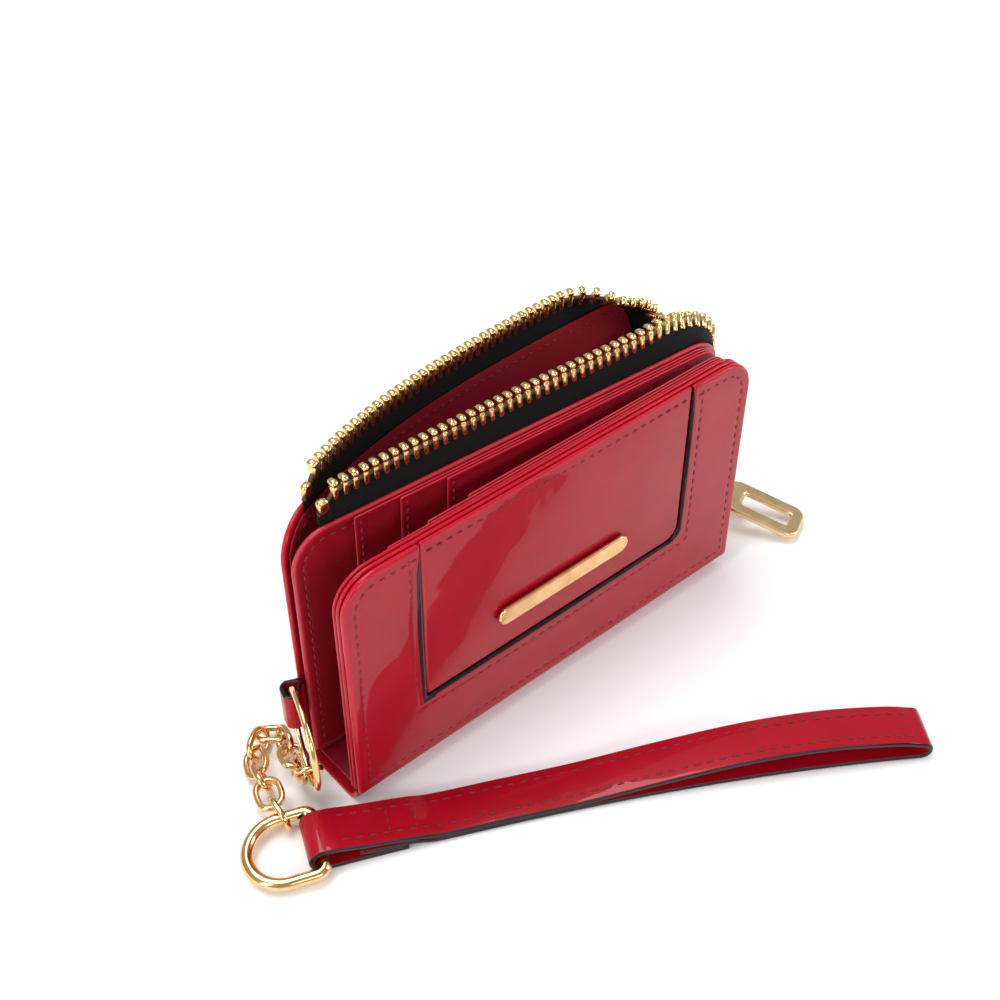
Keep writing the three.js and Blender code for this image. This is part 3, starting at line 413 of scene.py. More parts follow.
def slab(place, box, radii, thickness, edge=None, groove=0.0, seam=3.0, crown=None, paint=1.0,
         along=LONG_POINTS, upright=SHORT_POINTS, arc=ARC_POINTS):
    """A leather panel with rounded edges. Loops of the outline step inwards on both faces; half the
    thickness there is T/2 sqrt(1 - (1 - d/e)^2), less a groove along the stitching. Loops less than paint
    in from the rim take the second finish, a brighter colour that is a painted highlight on the edge."""
    edge = edge or thickness * 0.55
    deepest = min(box[1] - box[0], box[3] - box[2]) / 2 - 0.03
    insets = np.append(INSETS[INSETS < deepest * 0.98], deepest)
    flat_loops, offsets = [], []
    for d in insets:
        loop = rounded_loop(box, radii, d, along, upright, arc)
        half = thickness / 2 * math.sqrt(1 - (1 - min(d / edge, 1)) ** 2)
        half -= groove * math.exp(-((d - seam) / 0.3) ** 2)
        flat_loops.append(loop)
        offsets.append(np.full(len(loop), half))
    n, count = len(insets), len(flat_loops[0])
    flat, half = np.concatenate(flat_loops), np.concatenate(offsets)
    swell = crown(flat[:, 0], flat[:, 1]) if crown else 0.0
    front = place(flat[:, 0], flat[:, 1], half + swell)
    back = place(flat[count:, 0], flat[count:, 1], -half[count:] + (swell[count:] if crown else 0.0))
    points = np.concatenate([front, back])
    top = lattice(n, count, False, True)
    under = np.where(top < count, top, top + (n - 1) * count)[:, ::-1]
    faces = np.concatenate([top, under]).tolist()
    # loops nearer the rim than paint take slot 1: the brighter rim colour, a painted highlight
    tint = np.repeat(insets[:-1] < paint, count).astype(int).tolist() * 2
    for last in ((n - 1) * count, (2 * n - 2) * count):
        bottom = [last + k for k in range(arc - 1, arc + along + 1)]
        upper0 = 2 * arc + along + upright
        upper = [last + k for k in range(upper0 + arc - 1, upper0 + arc + along + 1)][::-1]
        for k in range(len(bottom) - 1):
            faces.append([bottom[k], bottom[k + 1], upper[k + 1], upper[k]])
        right = [last + k for k in range(arc + along, upper0 + arc)]
        left = [last + k % count for k in range(upper0 + arc + along, count + arc)]
        faces += [right, left]
        tint += [0] * (len(bottom) + 1)
    return points, faces, tint


THREAD_LIFT = 0.04    # how far a stitch's middle stands off the leather
STITCH_LOOK = 0.4     # how far before and after a stitch its heading is read


def stitches(place, route, lift, pitch, length=0.62, radius=0.27, closed=False, skip=None):
    """A row of raised stitches: each is an ellipsoid a x b x c on the face, one pitch from the next."""
    route = np.asarray(route, float)
    if closed:
        route = np.vstack([route, route[:1]])
    steps = np.linalg.norm(np.diff(route, axis=0), axis=1)
    run = np.concatenate([[0], np.cumsum(steps)])
    count = max(2, int(round(run[-1] / pitch)))
    at = (np.arange(count) + 0.5) * run[-1] / count
    centre = np.stack([np.interp(at, run, route[:, k]) for k in (0, 1)], -1)
    before, after = at - STITCH_LOOK, at + STITCH_LOOK
    ahead = np.stack([np.interp(after, run, route[:, k]) - np.interp(before, run, route[:, k]) for k in (0, 1)], -1)
    ahead /= np.maximum(np.linalg.norm(ahead, axis=1, keepdims=True), 1e-9)
    if skip is not None:
        keep = ~skip(centre[:, 0], centre[:, 1])
        centre, ahead = centre[keep], ahead[keep]
    reach = pitch * length
    around, rings = 8, np.linspace(-1, 1, 7)[1:-1]
    a = np.arange(around) * math.pi / 4
    girth = radius * (1 - rings**4) ** 0.5
    body = np.array([[reach / 2 * s, g * math.cos(t), g * math.sin(t)]
                     for s, g in zip(rings, girth) for t in a])
    shape = np.vstack([body, [[-reach / 2, 0, -radius * 0.5]], [[reach / 2, 0, -radius * 0.5]]])
    x = centre[:, None, 0] + shape[None, :, 0] * ahead[:, None, 0] - shape[None, :, 1] * ahead[:, None, 1]
    z = centre[:, None, 1] + shape[None, :, 0] * ahead[:, None, 1] + shape[None, :, 1] * ahead[:, None, 0]
    off = np.broadcast_to(lift + shape[None, :, 2], x.shape)
    points = place(x.ravel(), z.ravel(), off.ravel())
    pole, last = len(body), len(body) - around
    one = lattice(len(rings), around, False, True).tolist()
    one += [[(k + 1) % around, k, pole] for k in range(around)]
    one += [[last + k, last + (k + 1) % around, pole + 1] for k in range(around)]
    faces = [[int(k) + len(shape) * i for k in f] for i in range(len(centre)) for f in one]
    return points, faces


def band(path, width, thickness, place, round_off=0.4, steps=5):
    """A flat strip: a rounded rectangle, width by thickness, carried along a path in its side view.
    place(u, across, height) puts it in the wallet. Its two long edges get the second finish."""
    p = np.asarray(path, float)
    ahead = np.gradient(p, axis=0)
    ahead /= np.linalg.norm(ahead, axis=1, keepdims=True)
    normal = np.stack([-ahead[:, 1], ahead[:, 0]], -1)
    w, t, r = width / 2, thickness / 2, round_off
    outline = []
    corners = ((w - r, t - r, 0.0), (-w + r, t - r, 0.5), (-w + r, -t + r, 1.0), (w - r, -t + r, 1.5))
    for cx, cz, start in corners:
        a = math.pi * (start + np.linspace(0, 0.5, steps))
        outline.append(np.stack([cx + r * np.cos(a), cz + r * np.sin(a)], -1))
    outline = np.concatenate(outline)
    k = len(outline)
    u = p[:, None, 0] + normal[:, None, 0] * outline[None, :, 1]
    z = p[:, None, 1] + normal[:, None, 1] * outline[None, :, 1]
    across = np.broadcast_to(outline[None, :, 0], u.shape)
    points = place(u.ravel(), across.ravel(), z.ravel())
    middle = np.abs((outline[:, 0] + np.roll(outline[:, 0], -1)) / 2)
    tint = np.tile((middle > w - r * 0.62).astype(int), len(p) - 1).tolist()
    return points, capped(len(p), k), tint + [1, 1]


def smooth_line(knots, count):
    """A Catmull-Rom curve through the knots, sampled count times."""
    k = np.asarray(knots, float)
    k = np.vstack([2 * k[0] - k[1], k, 2 * k[-1] - k[-2]])
    t = np.linspace(0, len(k) - 3 - 1e-9, count)
    i = t.astype(int)
    f = (t - i)[:, None]
    a, b, c, d = k[i], k[i + 1], k[i + 2], k[i + 3]
    return 0.5 * (2 * b + (c - a) * f + (2 * a - 5 * b + 4 * c - d) * f**2 + (3 * b - 3 * c + d - a) * f**3)


# ---- the three walls ----------------------------------------------------------------------------
BACK_LEAN = 22.0      # how far the back cover stands back at its open corner
BELLY = 0.3           # how much of that lean it reaches early
FRONT_LEAN = 7.0      # how far the front wall leans forward there


def share_of(x):
    """How far across the wallet x lies, from 0 at the closed side to 1 at the open one."""
    return np.clip((x + HALF) / WIDTH, 0, 1)


def back_wall(x, height):
    """The back cover: y = plane + lean h (1 + belly (1 - h)) with lean = most (1 - (1 - s)^3), where h is the
    share of the height and s the share across."""
    lean = BACK_LEAN * (1 - (1 - share_of(x)) ** 3)
    up = height / HEIGHT
    y = BACK_PLANE + lean * up * (1 + BELLY * (1 - up))
    return np.stack([x, y, WALL_FOOT + height * np.sqrt(1 - (lean / HEIGHT) ** 2)], -1)


def front_wall(x, height):
    """The compartment's front wall leans forward evenly: y = plane - lean s h."""
    return np.stack([x, FRONT_PLANE - FRONT_LEAN * share_of(x) * height / HEIGHT, WALL_FOOT + height], -1)


def flap_wall(x, height):
    """The flap is flat and upright."""
    return np.stack([x, np.full_like(x, FLAP_PLANE), FLAP_FOOT + height], -1)


def off_wall(wall, shift=0.0, side=1.0):
    """A place on a wall at side * (shift + off) along the wall's normal, which points to +Y."""
    def put(x, height, off):
        x, height = np.asarray(x, float), np.asarray(height, float)
        e = 0.01
        across = wall(x + e, height) - wall(x - e, height)
        upward = wall(x, height + e) - wall(x, height - e)
        normal = np.cross(upward, across)
        normal /= np.linalg.norm(normal, axis=-1, keepdims=True)
        return wall(x, height) + normal * (side * (shift + np.asarray(off, float)))[..., None]
    return put


WALL_RADII = (0.5, 0.5, CORNER, CORNER)    # of a panel's corners: left foot, right foot, right top, left top
COVER_SEAM, WALL_SEAM, LINING_SEAM, SLOT_SEAM = 3.0, 2.6, 2.2, 1.6


def full(height):
    """The whole of a wall that is height tall, as (left, right, foot, top)."""
    return -HALF, HALF, 0.0, height


def sewn_panel(name, wall, shift, side, box, radii, thickness, finishes, body, node, slot,
               seam=None, groove=0.12, route=None, paint=1.0, pitch=None):
    """One panel. Where it has a seam, it is stitched that far in on the face that looks along side * normal,
    along the route given or along all its edge but the foot."""
    looks = bpy.context.scene.wallet_looks
    place = off_wall(wall, shift, side)
    # paint: how far in from the rim the brighter second finish, a painted highlight, reaches
    points, faces, tint = slab(place, box, radii, thickness, groove=groove if seam else 0.0, seam=seam or 0.0,
                               paint=paint)
    made = make_piece(name, points, faces, finishes, body, (node,), slot, tint)
    if seam:
        route = open_edge(box, radii, seam) if route is None else route
        thread = stitches(place, route, thickness / 2 - groove + THREAD_LIFT, pitch or looks.stitch_pitch)
        make_piece(f"{name}_thread_1", *thread, ["red thread"], body, slot=slot)
    return made


def open_edge(box, radii, inset):
    """The stitching line up the right side, over the top and down the left, leaving out the foot."""
    loop = rounded_loop(box, radii, inset)
    first = 2 * ARC_POINTS + LONG_POINTS - 1
    order = [(first + k) % len(loop) for k in range(len(loop) - LONG_POINTS - ARC_POINTS)]
    return loop[order]


# ---- zip run ------------------------------------------------------------------------------------
SIDE_LENGTH = HEIGHT - CORNER - TAPE_FOOT
TOP_LENGTH = HALF - CORNER - TAPE_LEFT
ARC_LENGTH = math.pi / 2 * CORNER
RUN_LENGTH = TOP_LENGTH + ARC_LENGTH + SIDE_LENGTH
TAPES = {
    "back": (back_wall, 1.0, -(COVER_T / 2 + GAP) - TAPE_T / 2, 0.2),
    "front": (front_wall, -1.0, WALL_T / 2 + GAP + TAPE_T / 2, 0.35),
}


def smoothstep(value, low, high):
    """0 up to low, 1 from high on, and 3 t^2 - 2 t^3 in between."""
    t = min(max((value - low) / (high - low), 0), 1)
    return t * t * (3 - 2 * t)


def run_at(distance):
    """Where the wall's edge is at a distance along the zip, and its way out: top, corner arc, side."""
    if distance <= TOP_LENGTH:
        return TAPE_LEFT + distance, HEIGHT, (0.0, 1.0)
    turn = min((distance - TOP_LENGTH) / CORNER, math.pi / 2)
    below = max(0.0, distance - TOP_LENGTH - ARC_LENGTH)
    out = (math.sin(turn), math.cos(turn))
    return HALF - CORNER + CORNER * out[0], HEIGHT - CORNER + CORNER * out[1] - below, out


def tape_frame(which, distance):
    """Where the zip is at a distance along its run: the wall's edge, the beaded tip and the teeth's way out.
    The tape stands up off the top edge and turns towards the other wall down the side."""
    wall, side, offset, lean = TAPES[which]
    put = off_wall(wall, offset)
    x, height, out = run_at(distance)
    turn = math.atan2(*out)

    def on(reach):
        return put(np.array([x + out[0] * reach]), np.array([height + out[1] * reach]), np.zeros(1))[0]

    edge = on(GAP)
    up = on(1) - on(0)
    up /= np.linalg.norm(up)
    inward = float(np.clip((side * (edge[1] - MID) - ROW_SPREAD) / TAPE_PROUD, -0.35, 0.96))
    sideways = np.array([math.sqrt(1 - inward**2), -side * inward, 0])
    leaning = lean * min(1.0, float(share_of(x)) * 2)
    upward = up + np.array([0, -side * leaning, 0])
    upward /= np.linalg.norm(upward)
    level = max(math.sin(turn) ** 2, 0.85 * smoothstep(distance, TOP_LENGTH - TAPE_TURN, TOP_LENGTH + 4))
    way = upward * (1 - level) + sideways * level
    way /= np.linalg.norm(way)
    ramp = min(max(0.25 + distance / 6, 0), 1)
    tip = edge + way * TAPE_PROUD * ramp
    guided = smoothstep(20 - height, 0, 8)
    nose = way * (1 - guided) + np.array([1.0, 0, 0]) * guided
    return edge, tip, nose / np.linalg.norm(nose)


def zip_rows(which, distances):
    """Along the run: tips, ways out, ways along and the cloth's normals."""
    frames = [tape_frame(which, d) for d in distances]
    tips = np.array([tip for _, tip, _ in frames])
    noses = np.array([nose for _, _, nose in frames])
    along = np.array([tape_frame(which, min(d + 0.5, RUN_LENGTH))[1] - tape_frame(which, max(d - 0.5, 0))[1]
                      for d in distances])
    along -= noses * np.sum(along * noses, 1, keepdims=True)
    along /= np.linalg.norm(along, axis=1, keepdims=True)
    return tips, noses, along, np.cross(along, noses)


def zip_tape(which):
    """The tape: a thin hem flat on the wall behind the lining, the wall's edge, then the beaded tip.
    Point = hem + (foot - hem) a + (edge - foot) b + (tip - edge) c as a, b, c run from 0 to 1."""
    wall, _, offset, _ = TAPES[which]
    thickness = COVER_T if which == "back" else WALL_T
    pressed = off_wall(wall, math.copysign(thickness / 2 + 0.13, offset))
    u = np.linspace(0, RUN_LENGTH, 230)
    v = np.array([0, 0.04, 0.1, 0.2, 0.25, 0.29, 0.34, 0.4, 0.5, 0.6, 0.7, 0.8, 0.9, 0.97, 1.0])
    shares = ((0, 0.25), (0.25, 0.15), (0.4, 0.6))      # where each stretch starts and how much of v it takes
    a, b, c = (np.clip((v - low) / width, 0, 1)[:, None] for low, width in shares)
    grid = np.empty((len(u), len(v), 3))
    for i, d in enumerate(u):
        edge, tip, _ = tape_frame(which, d)
        x, height, out = run_at(d)
        hem, foot = (pressed(np.array([x + out[0] * r]), np.array([height + out[1] * r]), 0.0)[0]
                     for r in (-2.6, -0.5))
        grid[i] = hem + (foot - hem) * a + (edge - foot) * b + (tip - edge) * c
    half = np.interp(v, [0, 0.25, 0.4, 0.97, 1.0], [0.07, 0.07, TAPE_T / 2, TAPE_T / 2, 0.06])
    return thick_sheet(grid, half[None, :, None])


TOOTH = ((-1.7, 0.02, 0.02), (-1.68, 0.55, 0.62), (-1.5, 0.7, 0.85), (-0.2, 0.74, 0.98), (0.6, 0.74, 1.08),
         (1.2, 0.7, 1.16), (1.45, 0.58, 1.04), (1.75, 0.66, 1.08), (2.1, 0.84, 1.26), (2.5, 0.86, 1.26),
         (2.85, 0.68, 1.0), (3.04, 0.34, 0.55), (3.1, 0.02, 0.02))


def strung(sections, at, along, noses, ahead, normals):
    """Sections (reach, half width, half thickness), superellipses of power 0.6, strung along the way out."""
    sides, power = 12, 0.6
    a = np.arange(sides) * math.pi / 6
    c, s = np.cos(a), np.sin(a)
    oval = np.stack([np.sign(c) * np.abs(c) ** power, np.sign(s) * np.abs(s) ** power], -1)
    shape = np.array([[reach, x * w * along, y * t] for reach, w, t in sections for x, y in oval])
    points = (at[:, None] + shape[None, :, 0:1] * noses[:, None] + shape[None, :, 1:2] * ahead[:, None]
              + shape[None, :, 2:3] * normals[:, None]).reshape(-1, 3)
    one, size = capped(len(sections), sides), sides * len(sections)
    return points, [[int(k) + size * i for k in f] for i in range(len(at)) for f in one]


def zip_teeth(which):
    """Separate teeth: each a bar across the beaded edge that swells to a rounded nose."""
    first = STOP_LENGTH + GAP
    teeth = int((RUN_LENGTH - first) // TOOTH_PITCH)
    tips, noses, along, normals = zip_rows(which, first + (np.arange(teeth) + 0.5) * TOOTH_PITCH)
    return strung(TOOTH, tips, 1.0, noses, along, normals)


def top_stop(which):
    """A stop clamped over the tape's first 3 mm: a short bar 2.8 mm along the zip."""
    tips, noses, along, normals = zip_rows(which, [STOP_LENGTH / 2])
    bar = ((-0.9, 0.02, 0.02), (-0.85, 0.4, 0.6), (-0.6, 0.64, 0.85), (1.6, 0.66, 0.9), (2.1, 0.55, 0.8),
           (2.35, 0.3, 0.5), (2.4, 0.02, 0.02))
    return strung(bar, tips, 2.1, noses, along, normals)


def zip_bead(which):
    """The corded edge under the teeth: a bar of radius 0.52 + 0.05 sin(2 pi d / 0.8)."""
    d = np.linspace(0.2, RUN_LENGTH - 0.2, 520)
    tips, noses, _, normals = zip_rows(which, d)
    radius = 0.52 + 0.05 * np.sin(2 * math.pi * d / 0.8)
    centres, sides = tips + noses * 0.25, 10
    a = np.arange(sides) * math.pi / 5
    rings = centres[:, None] + radius[:, None, None] * (
        np.cos(a)[None, :, None] * noses[:, None] + np.sin(a)[None, :, None] * normals[:, None])
    return rings.reshape(-1, 3), capped(len(d), sides)


# ---- chain and strap paths ----------------------------------------------------------------------
HEADING = np.array([-0.35, -0.937, 0.0]) / math.hypot(0.35, 0.937)
RING_CENTRE = FOLD + HEADING * RING_R
STRAP_BEND = np.array([2.0, -49.5])
STRAP_END = np.array([54.0, -86.0])
STRAP_WAY = np.append(STRAP_BEND - BAR[:2], 0) / np.linalg.norm(STRAP_BEND - BAR[:2])


def unit(v):
    """v at length 1."""
    return np.asarray(v, float) / np.linalg.norm(v)


BOWWARD = unit([-STRAP_WAY[0], -STRAP_WAY[1], -0.06])
BARWARD = unit([-STRAP_WAY[1], STRAP_WAY[0], 0.05])
DRING_HALF, DRING_ARM, DRING_CORNER = 8.2, 7.8, 2.2


def d_ring_path(count=200):
    """Half of the D, mirrored: straight bar, corner arc, arm and a quarter of the bow, in even steps."""
    bar, arm = DRING_HALF - DRING_CORNER, DRING_ARM - DRING_CORNER
    corner = math.pi / 2 * DRING_CORNER
    half = bar + corner + arm + math.pi / 2 * DRING_HALF
    out = []
    for u in np.arange(count) / count:
        travel = 2 * min(u, 1 - u) * half
        away, along = 0.0, travel
        if travel > bar:
            turn = min((travel - bar) / DRING_CORNER, math.pi / 2)
            away = DRING_CORNER * (1 - math.cos(turn)) + max(0.0, travel - bar - corner)
            along = bar + DRING_CORNER * math.sin(turn)
        if travel > bar + corner + arm:
            turn = (travel - bar - corner - arm) / DRING_HALF
            away, along = DRING_ARM + DRING_HALF * math.sin(turn), DRING_HALF * math.cos(turn)
        out.append(BAR + BOWWARD * away + BARWARD * (along if u < 0.5 else -along))
    return np.array(out)


CHAIN_END = BAR + BARWARD * DRING_HALF + BOWWARD * 6.5
CHAIN = [RING_CENTRE + [0, 0, -RING_R], [-67.0, -3.1, 8.1], [-65.9, 1.8, 5.8], [-64.5, 7.2, 4.8],
         [-63.3, 12.8, 3.8], [-66.2, 15.3, 3.7], [-71.1, 12.1, 3.5], [-73.1, 7.4, 3.6], [-74.4, 2.0, 4.6],
         [-75.9, -2.6, 4.5], CHAIN_END]
ROLLS = (0, 15, -80, 20, -70, 25, -55, 25, -80, 0)
LINK_L, LINK_W, LINK_WIRE = 7.6, 5.6, 0.8


def chain_link(i):
    """A chain link: an oval of wire whose section is a rounded square, which gives its long facets."""
    start, end = np.array(CHAIN[i], float), np.array(CHAIN[i + 1], float)
    along = unit(end - start)
    centre = (start + end) / 2
    normal = unit(np.cross([0, 0, 1.0], along))
    roll = math.radians(ROLLS[i])
    normal = normal * math.cos(roll) + np.cross(along, normal) * math.sin(roll)
    if i == 0:
        centre = start + along * (LINK_L / 2 - 2.15)
        normal = unit(HEADING - along * HEADING.dot(along))
    if i == len(ROLLS) - 1:
        centre = end + along * (2.6 - LINK_L / 2)
        normal = unit(BOWWARD - along * BOWWARD.dot(along))
    across = np.cross(normal, along)
    a = np.arange(48) * 2 * math.pi / 48
    r, length = LINK_W / 2, LINK_L / 2 - LINK_W / 2
    run = r * np.cos(a) + length * np.tanh(4 * np.cos(a))
    path = centre + run[:, None] * along + (r * np.sin(a))[:, None] * across
    ahead = np.roll(path, -1, 0) - np.roll(path, 1, 0)
    ahead /= np.linalg.norm(ahead, axis=1, keepdims=True)
    side = np.cross(ahead, normal)
    s = np.arange(16) * 2 * math.pi / 16 + math.pi / 16
    squared = 0.9 / np.maximum(np.abs(np.cos(s)), np.abs(np.sin(s))) ** 0.55 * 0.98
    wire = np.minimum(squared, 1.04)
    rings = path[:, None] + LINK_WIRE * (
        (wire * np.cos(s))[None, :, None] * side[:, None]
        + (wire * np.sin(s))[None, :, None] * normal[None, None])
    return rings.reshape(-1, 3), lattice(48, 16, True, True).tolist()


TOP_PROFILE = [(3, 6.7), (10, 5.4), (20, 4.1), (27, 2.9), (40, 2.7), (60, 2.9), (80, 4.9), (100, 7.0),
               (118, 7.6), (134, 6.6), (STRAP_L - 2.8, 5.3)]


def strap_table():
    """Arc length table of the strap's quadratic curve over the floor."""
    t = np.linspace(0, 1, 800)[:, None]
    p = (1 - t) ** 2 * BAR[:2] + 2 * t * (1 - t) * STRAP_BEND + t**2 * STRAP_END
    run = np.concatenate([[0], np.cumsum(np.linalg.norm(np.diff(p, axis=0), axis=1))])
    way = np.gradient(p, axis=0)
    return run, p, way / np.linalg.norm(way, axis=1, keepdims=True)


STRAP_RUN, STRAP_POINTS, STRAP_WAYS = strap_table()


def on_strap(u, across, z):
    """Carries (length, across, height) onto the curve; past its end it goes straight on."""
    u, across, z = (np.asarray(v, float) for v in (u, across, z))
    at = np.clip(u, 0, STRAP_RUN[-1])
    x, y = (np.interp(at, STRAP_RUN, STRAP_POINTS[:, k]) for k in (0, 1))
    wx, wy = (np.interp(at, STRAP_RUN, STRAP_WAYS[:, k]) for k in (0, 1))
    return np.stack([x + wx * (u - at) + wy * across, y + wy * (u - at) - wx * across, z], -1)


def strap_path():
    """The leather's centre line in side view: from its turned-back end, round the bar, out, round the
    far fold, back along the floor and up between the two layers."""
    low, r = 0.1 + STRAP_T / 2, 3.4 - STRAP_T / 2
    under = [(u, low) for u in np.arange(19, 0.5, -1.5)]
    eye = [(-r * math.sin(a), 3.5 - r * math.cos(a)) for a in np.linspace(0, math.pi, 16)]
    top = smooth_line(TOP_PROFILE, 110) - [0, STRAP_T / 2]
    end_u, end_r = TOP_PROFILE[-1][0], (TOP_PROFILE[-1][1] - 0.1) / 2
    far = [(end_u + (end_r - STRAP_T / 2) * math.sin(a), 0.1 + end_r + (end_r - STRAP_T / 2) * math.cos(a))
           for a in np.linspace(0.15, math.pi, 14)]
    back = [(u, low) for u in np.arange(end_u - 2, 28, -2)]
    tucked = smooth_line([(27, low), (24, 1.1), (20, 2.1), (14, 2.2), (8, 2.9)], 14)
    return np.concatenate([under, eye, top, far, back, tucked])


def strap_top(u):
    """Height of the strap's upper face at a length along it."""
    line = smooth_line(TOP_PROFILE, 400)
    return np.interp(u, line[:, 0], line[:, 1])


# ---- looks that a user would change -------------------------------------------------------------
class WalletLooks(bpy.types.PropertyGroup):
    """Colours and stitching of the wallet."""

    patent_deep: bpy.props.FloatVectorProperty(
        name="Patent Deep", description="Darker tone of the patent leather", subtype="COLOR", size=4,
        min=0.0, max=1.0, default=linear("#97061A"))
    patent_bright: bpy.props.FloatVectorProperty(
        name="Patent Bright", description="Brighter tone of the patent leather", subtype="COLOR", size=4,
        min=0.0, max=1.0, default=linear("#A1071D"))
    gold_deep: bpy.props.FloatVectorProperty(
        name="Gold Deep", description="Darker tone of the light gold plating", subtype="COLOR", size=4,
        min=0.0, max=1.0, default=linear("#E2B277"))
    gold_bright: bpy.props.FloatVectorProperty(
        name="Gold Bright", description="Brighter tone of the light gold plating", subtype="COLOR", size=4,
        min=0.0, max=1.0, default=linear("#F2CD95"))
    stitch_pitch: bpy.props.FloatProperty(
        name="Stitch Pitch", description="Distance from one stitch to the next, in millimetres",
        default=2.7, min=1.5, max=5.0)
    key_power: bpy.props.FloatProperty(
        name="Key Power", description="Power of the large light over the wallet", default=9.0, min=0.0,
        unit="POWER")


class WALLET_OT_stage(bpy.types.Operator):
    """Lays the pale floor and sets the camera and the soft lights"""

    bl_idname = "wallet.stage"
    bl_label = "Floor, Lights and Camera"

    def execute(self, context):
        scene = context.scene
        grid = np.array([[x, y, 0.0] for x in (-3000, 3000) for y in (-3000, 3000)]) * MM
        mesh = bpy.data.meshes.new("floor")
        mesh.from_pydata(grid.tolist(), [], [(0, 2, 3, 1)])
        mesh.materials.append(finish_of("studio floor"))
        floor = bpy.data.objects.new("floor", mesh)
        scene.collection.objects.link(floor)
        camera = bpy.data.objects.new("camera", bpy.data.cameras.new("camera"))
        camera.data.lens = 51.8
        camera.data.sensor_width = 36.0
        place, target = Vector((-164.36, -183.46, 270.08)) * MM, Vector((-6.21, 0.0, 52.82)) * MM
        camera.location = place
        camera.rotation_euler = (target - place).to_track_quat("-Z", "Y").to_euler()
        camera.data.clip_start = 0.01
        scene.collection.objects.link(camera)
        scene.camera = camera
        world = bpy.data.worlds.new("studio")
        world.use_nodes = True
        world.node_tree.nodes["Background"].inputs["Color"].default_value = (1, 1, 1, 1)
        world.node_tree.nodes["Background"].inputs["Strength"].default_value = 0.42
        scene.world = world
        scene.view_settings.view_transform = "Standard"
        lights = (
            ("overhead", (-0.1, 0.3, 1.1), (0.8, 0.6), scene.wallet_looks.key_power),
            ("left_strip", (-0.75, -0.1, 0.35), (0.12, 0.7), 2.5),
            ("right_strip", (0.75, -0.5, 0.45), (0.2, 0.7), 3.0),
            ("front_card", (-0.25, -0.95, 0.6), (0.5, 0.25), 3.0),
        )
        for name, spot, size, power in lights:
            lamp = bpy.data.objects.new(name, bpy.data.lights.new(name, "AREA"))
            lamp.data.shape = "RECTANGLE"
            lamp.data.size, lamp.data.size_y = size
            lamp.data.energy = power
            lamp.location = spot
            lamp.rotation_euler = (Vector((0, 0, 0.03)) - Vector(spot)).to_track_quat("-Z", "Y").to_euler()
            scene.collection.objects.link(lamp)
        return {"FINISHED"}


class WALLET_OT_walls(bpy.types.Operator):
    """Builds the back cover, the compartment's front wall, their linings and the side gusset"""

    bl_idname = "wallet.walls"
    bl_label = "Walls and Linings"

    def execute(self, context):
        box = full(HEIGHT)
        inset = TAPE_SEWN + 0.4
        lined = (-HALF + inset, HALF - inset, 1.0, HEIGHT - inset)
        lined_radii = (1.0, 1.0, CORNER - inset, CORNER - inset)
        cover = sewn_panel("back_cover_leather", back_wall, 0.0, 1.0, box, WALL_RADII, COVER_T,
                           ["patent red", "turned edge"], "wallet", "back_cover", "patent_red",
                           seam=COVER_SEAM, groove=0.14)
        lining = sewn_panel("back_lining_cloth", back_wall, COVER_T / 2 + GAP + LINING_T / 2, -1.0, lined,
                            lined_radii, LINING_T, ["red lining"] * 2, "wallet", "back_lining", "lining_red",
                            seam=LINING_SEAM, groove=0.06)
        sewn_panel("front_wall_leather", front_wall, 0.0, -1.0, box, WALL_RADII, WALL_T,
                   ["inner leather", "inner edge"], "wallet", "front_wall", "leather_dark_red",
                   seam=WALL_SEAM, groove=0.1)
        sewn_panel("front_lining_cloth", front_wall, WALL_T / 2 + GAP + LINING_T / 2, 1.0, lined,
                   lined_radii, LINING_T, ["red lining"] * 2, "wallet", "front_wall_lining", "lining_red",
                   seam=LINING_SEAM, groove=0.06)
        gusset = self.gusset()
        for piece in [cover, lining, *threads_of(cover), *threads_of(lining)]:
            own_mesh(piece)
        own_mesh(gusset)
        return {"FINISHED"}

    def gusset(self):
        """A sheet folded inwards: x = mouth - depth sin(pi u) between the two linings."""
        mouth, foot, rise, depth, full_gap = 55.0, 15, 39, 10, 20
        u, v = np.meshgrid(np.linspace(0, 1, 41), np.linspace(0, 1, 31), indexing="ij")
        off = 3 * GAP + LINING_T
        at = np.full_like(u, mouth), foot + rise * v, np.zeros_like(u)
        front = off_wall(front_wall, WALL_T / 2 + off)(*at)
        back = off_wall(back_wall, -(COVER_T / 2 + off))(*at)
        grid = front * (1 - u[..., None]) + back * u[..., None]
        grid[..., 2] = front[..., 2]
        grid[..., 0] -= depth * np.minimum(1, (back[..., 1] - front[..., 1]) / full_gap) * np.sin(math.pi * u)
        return make_piece("side_gusset_cloth", *thick_sheet(grid, 0.2), ["red lining"], "wallet",
                          ("side_gusset",), "lining_red")


def threads_of(piece):
    """The stitching pieces that were made with a panel."""
    return [o for o in bpy.data.objects if o.name.startswith(piece.name + "_thread")]


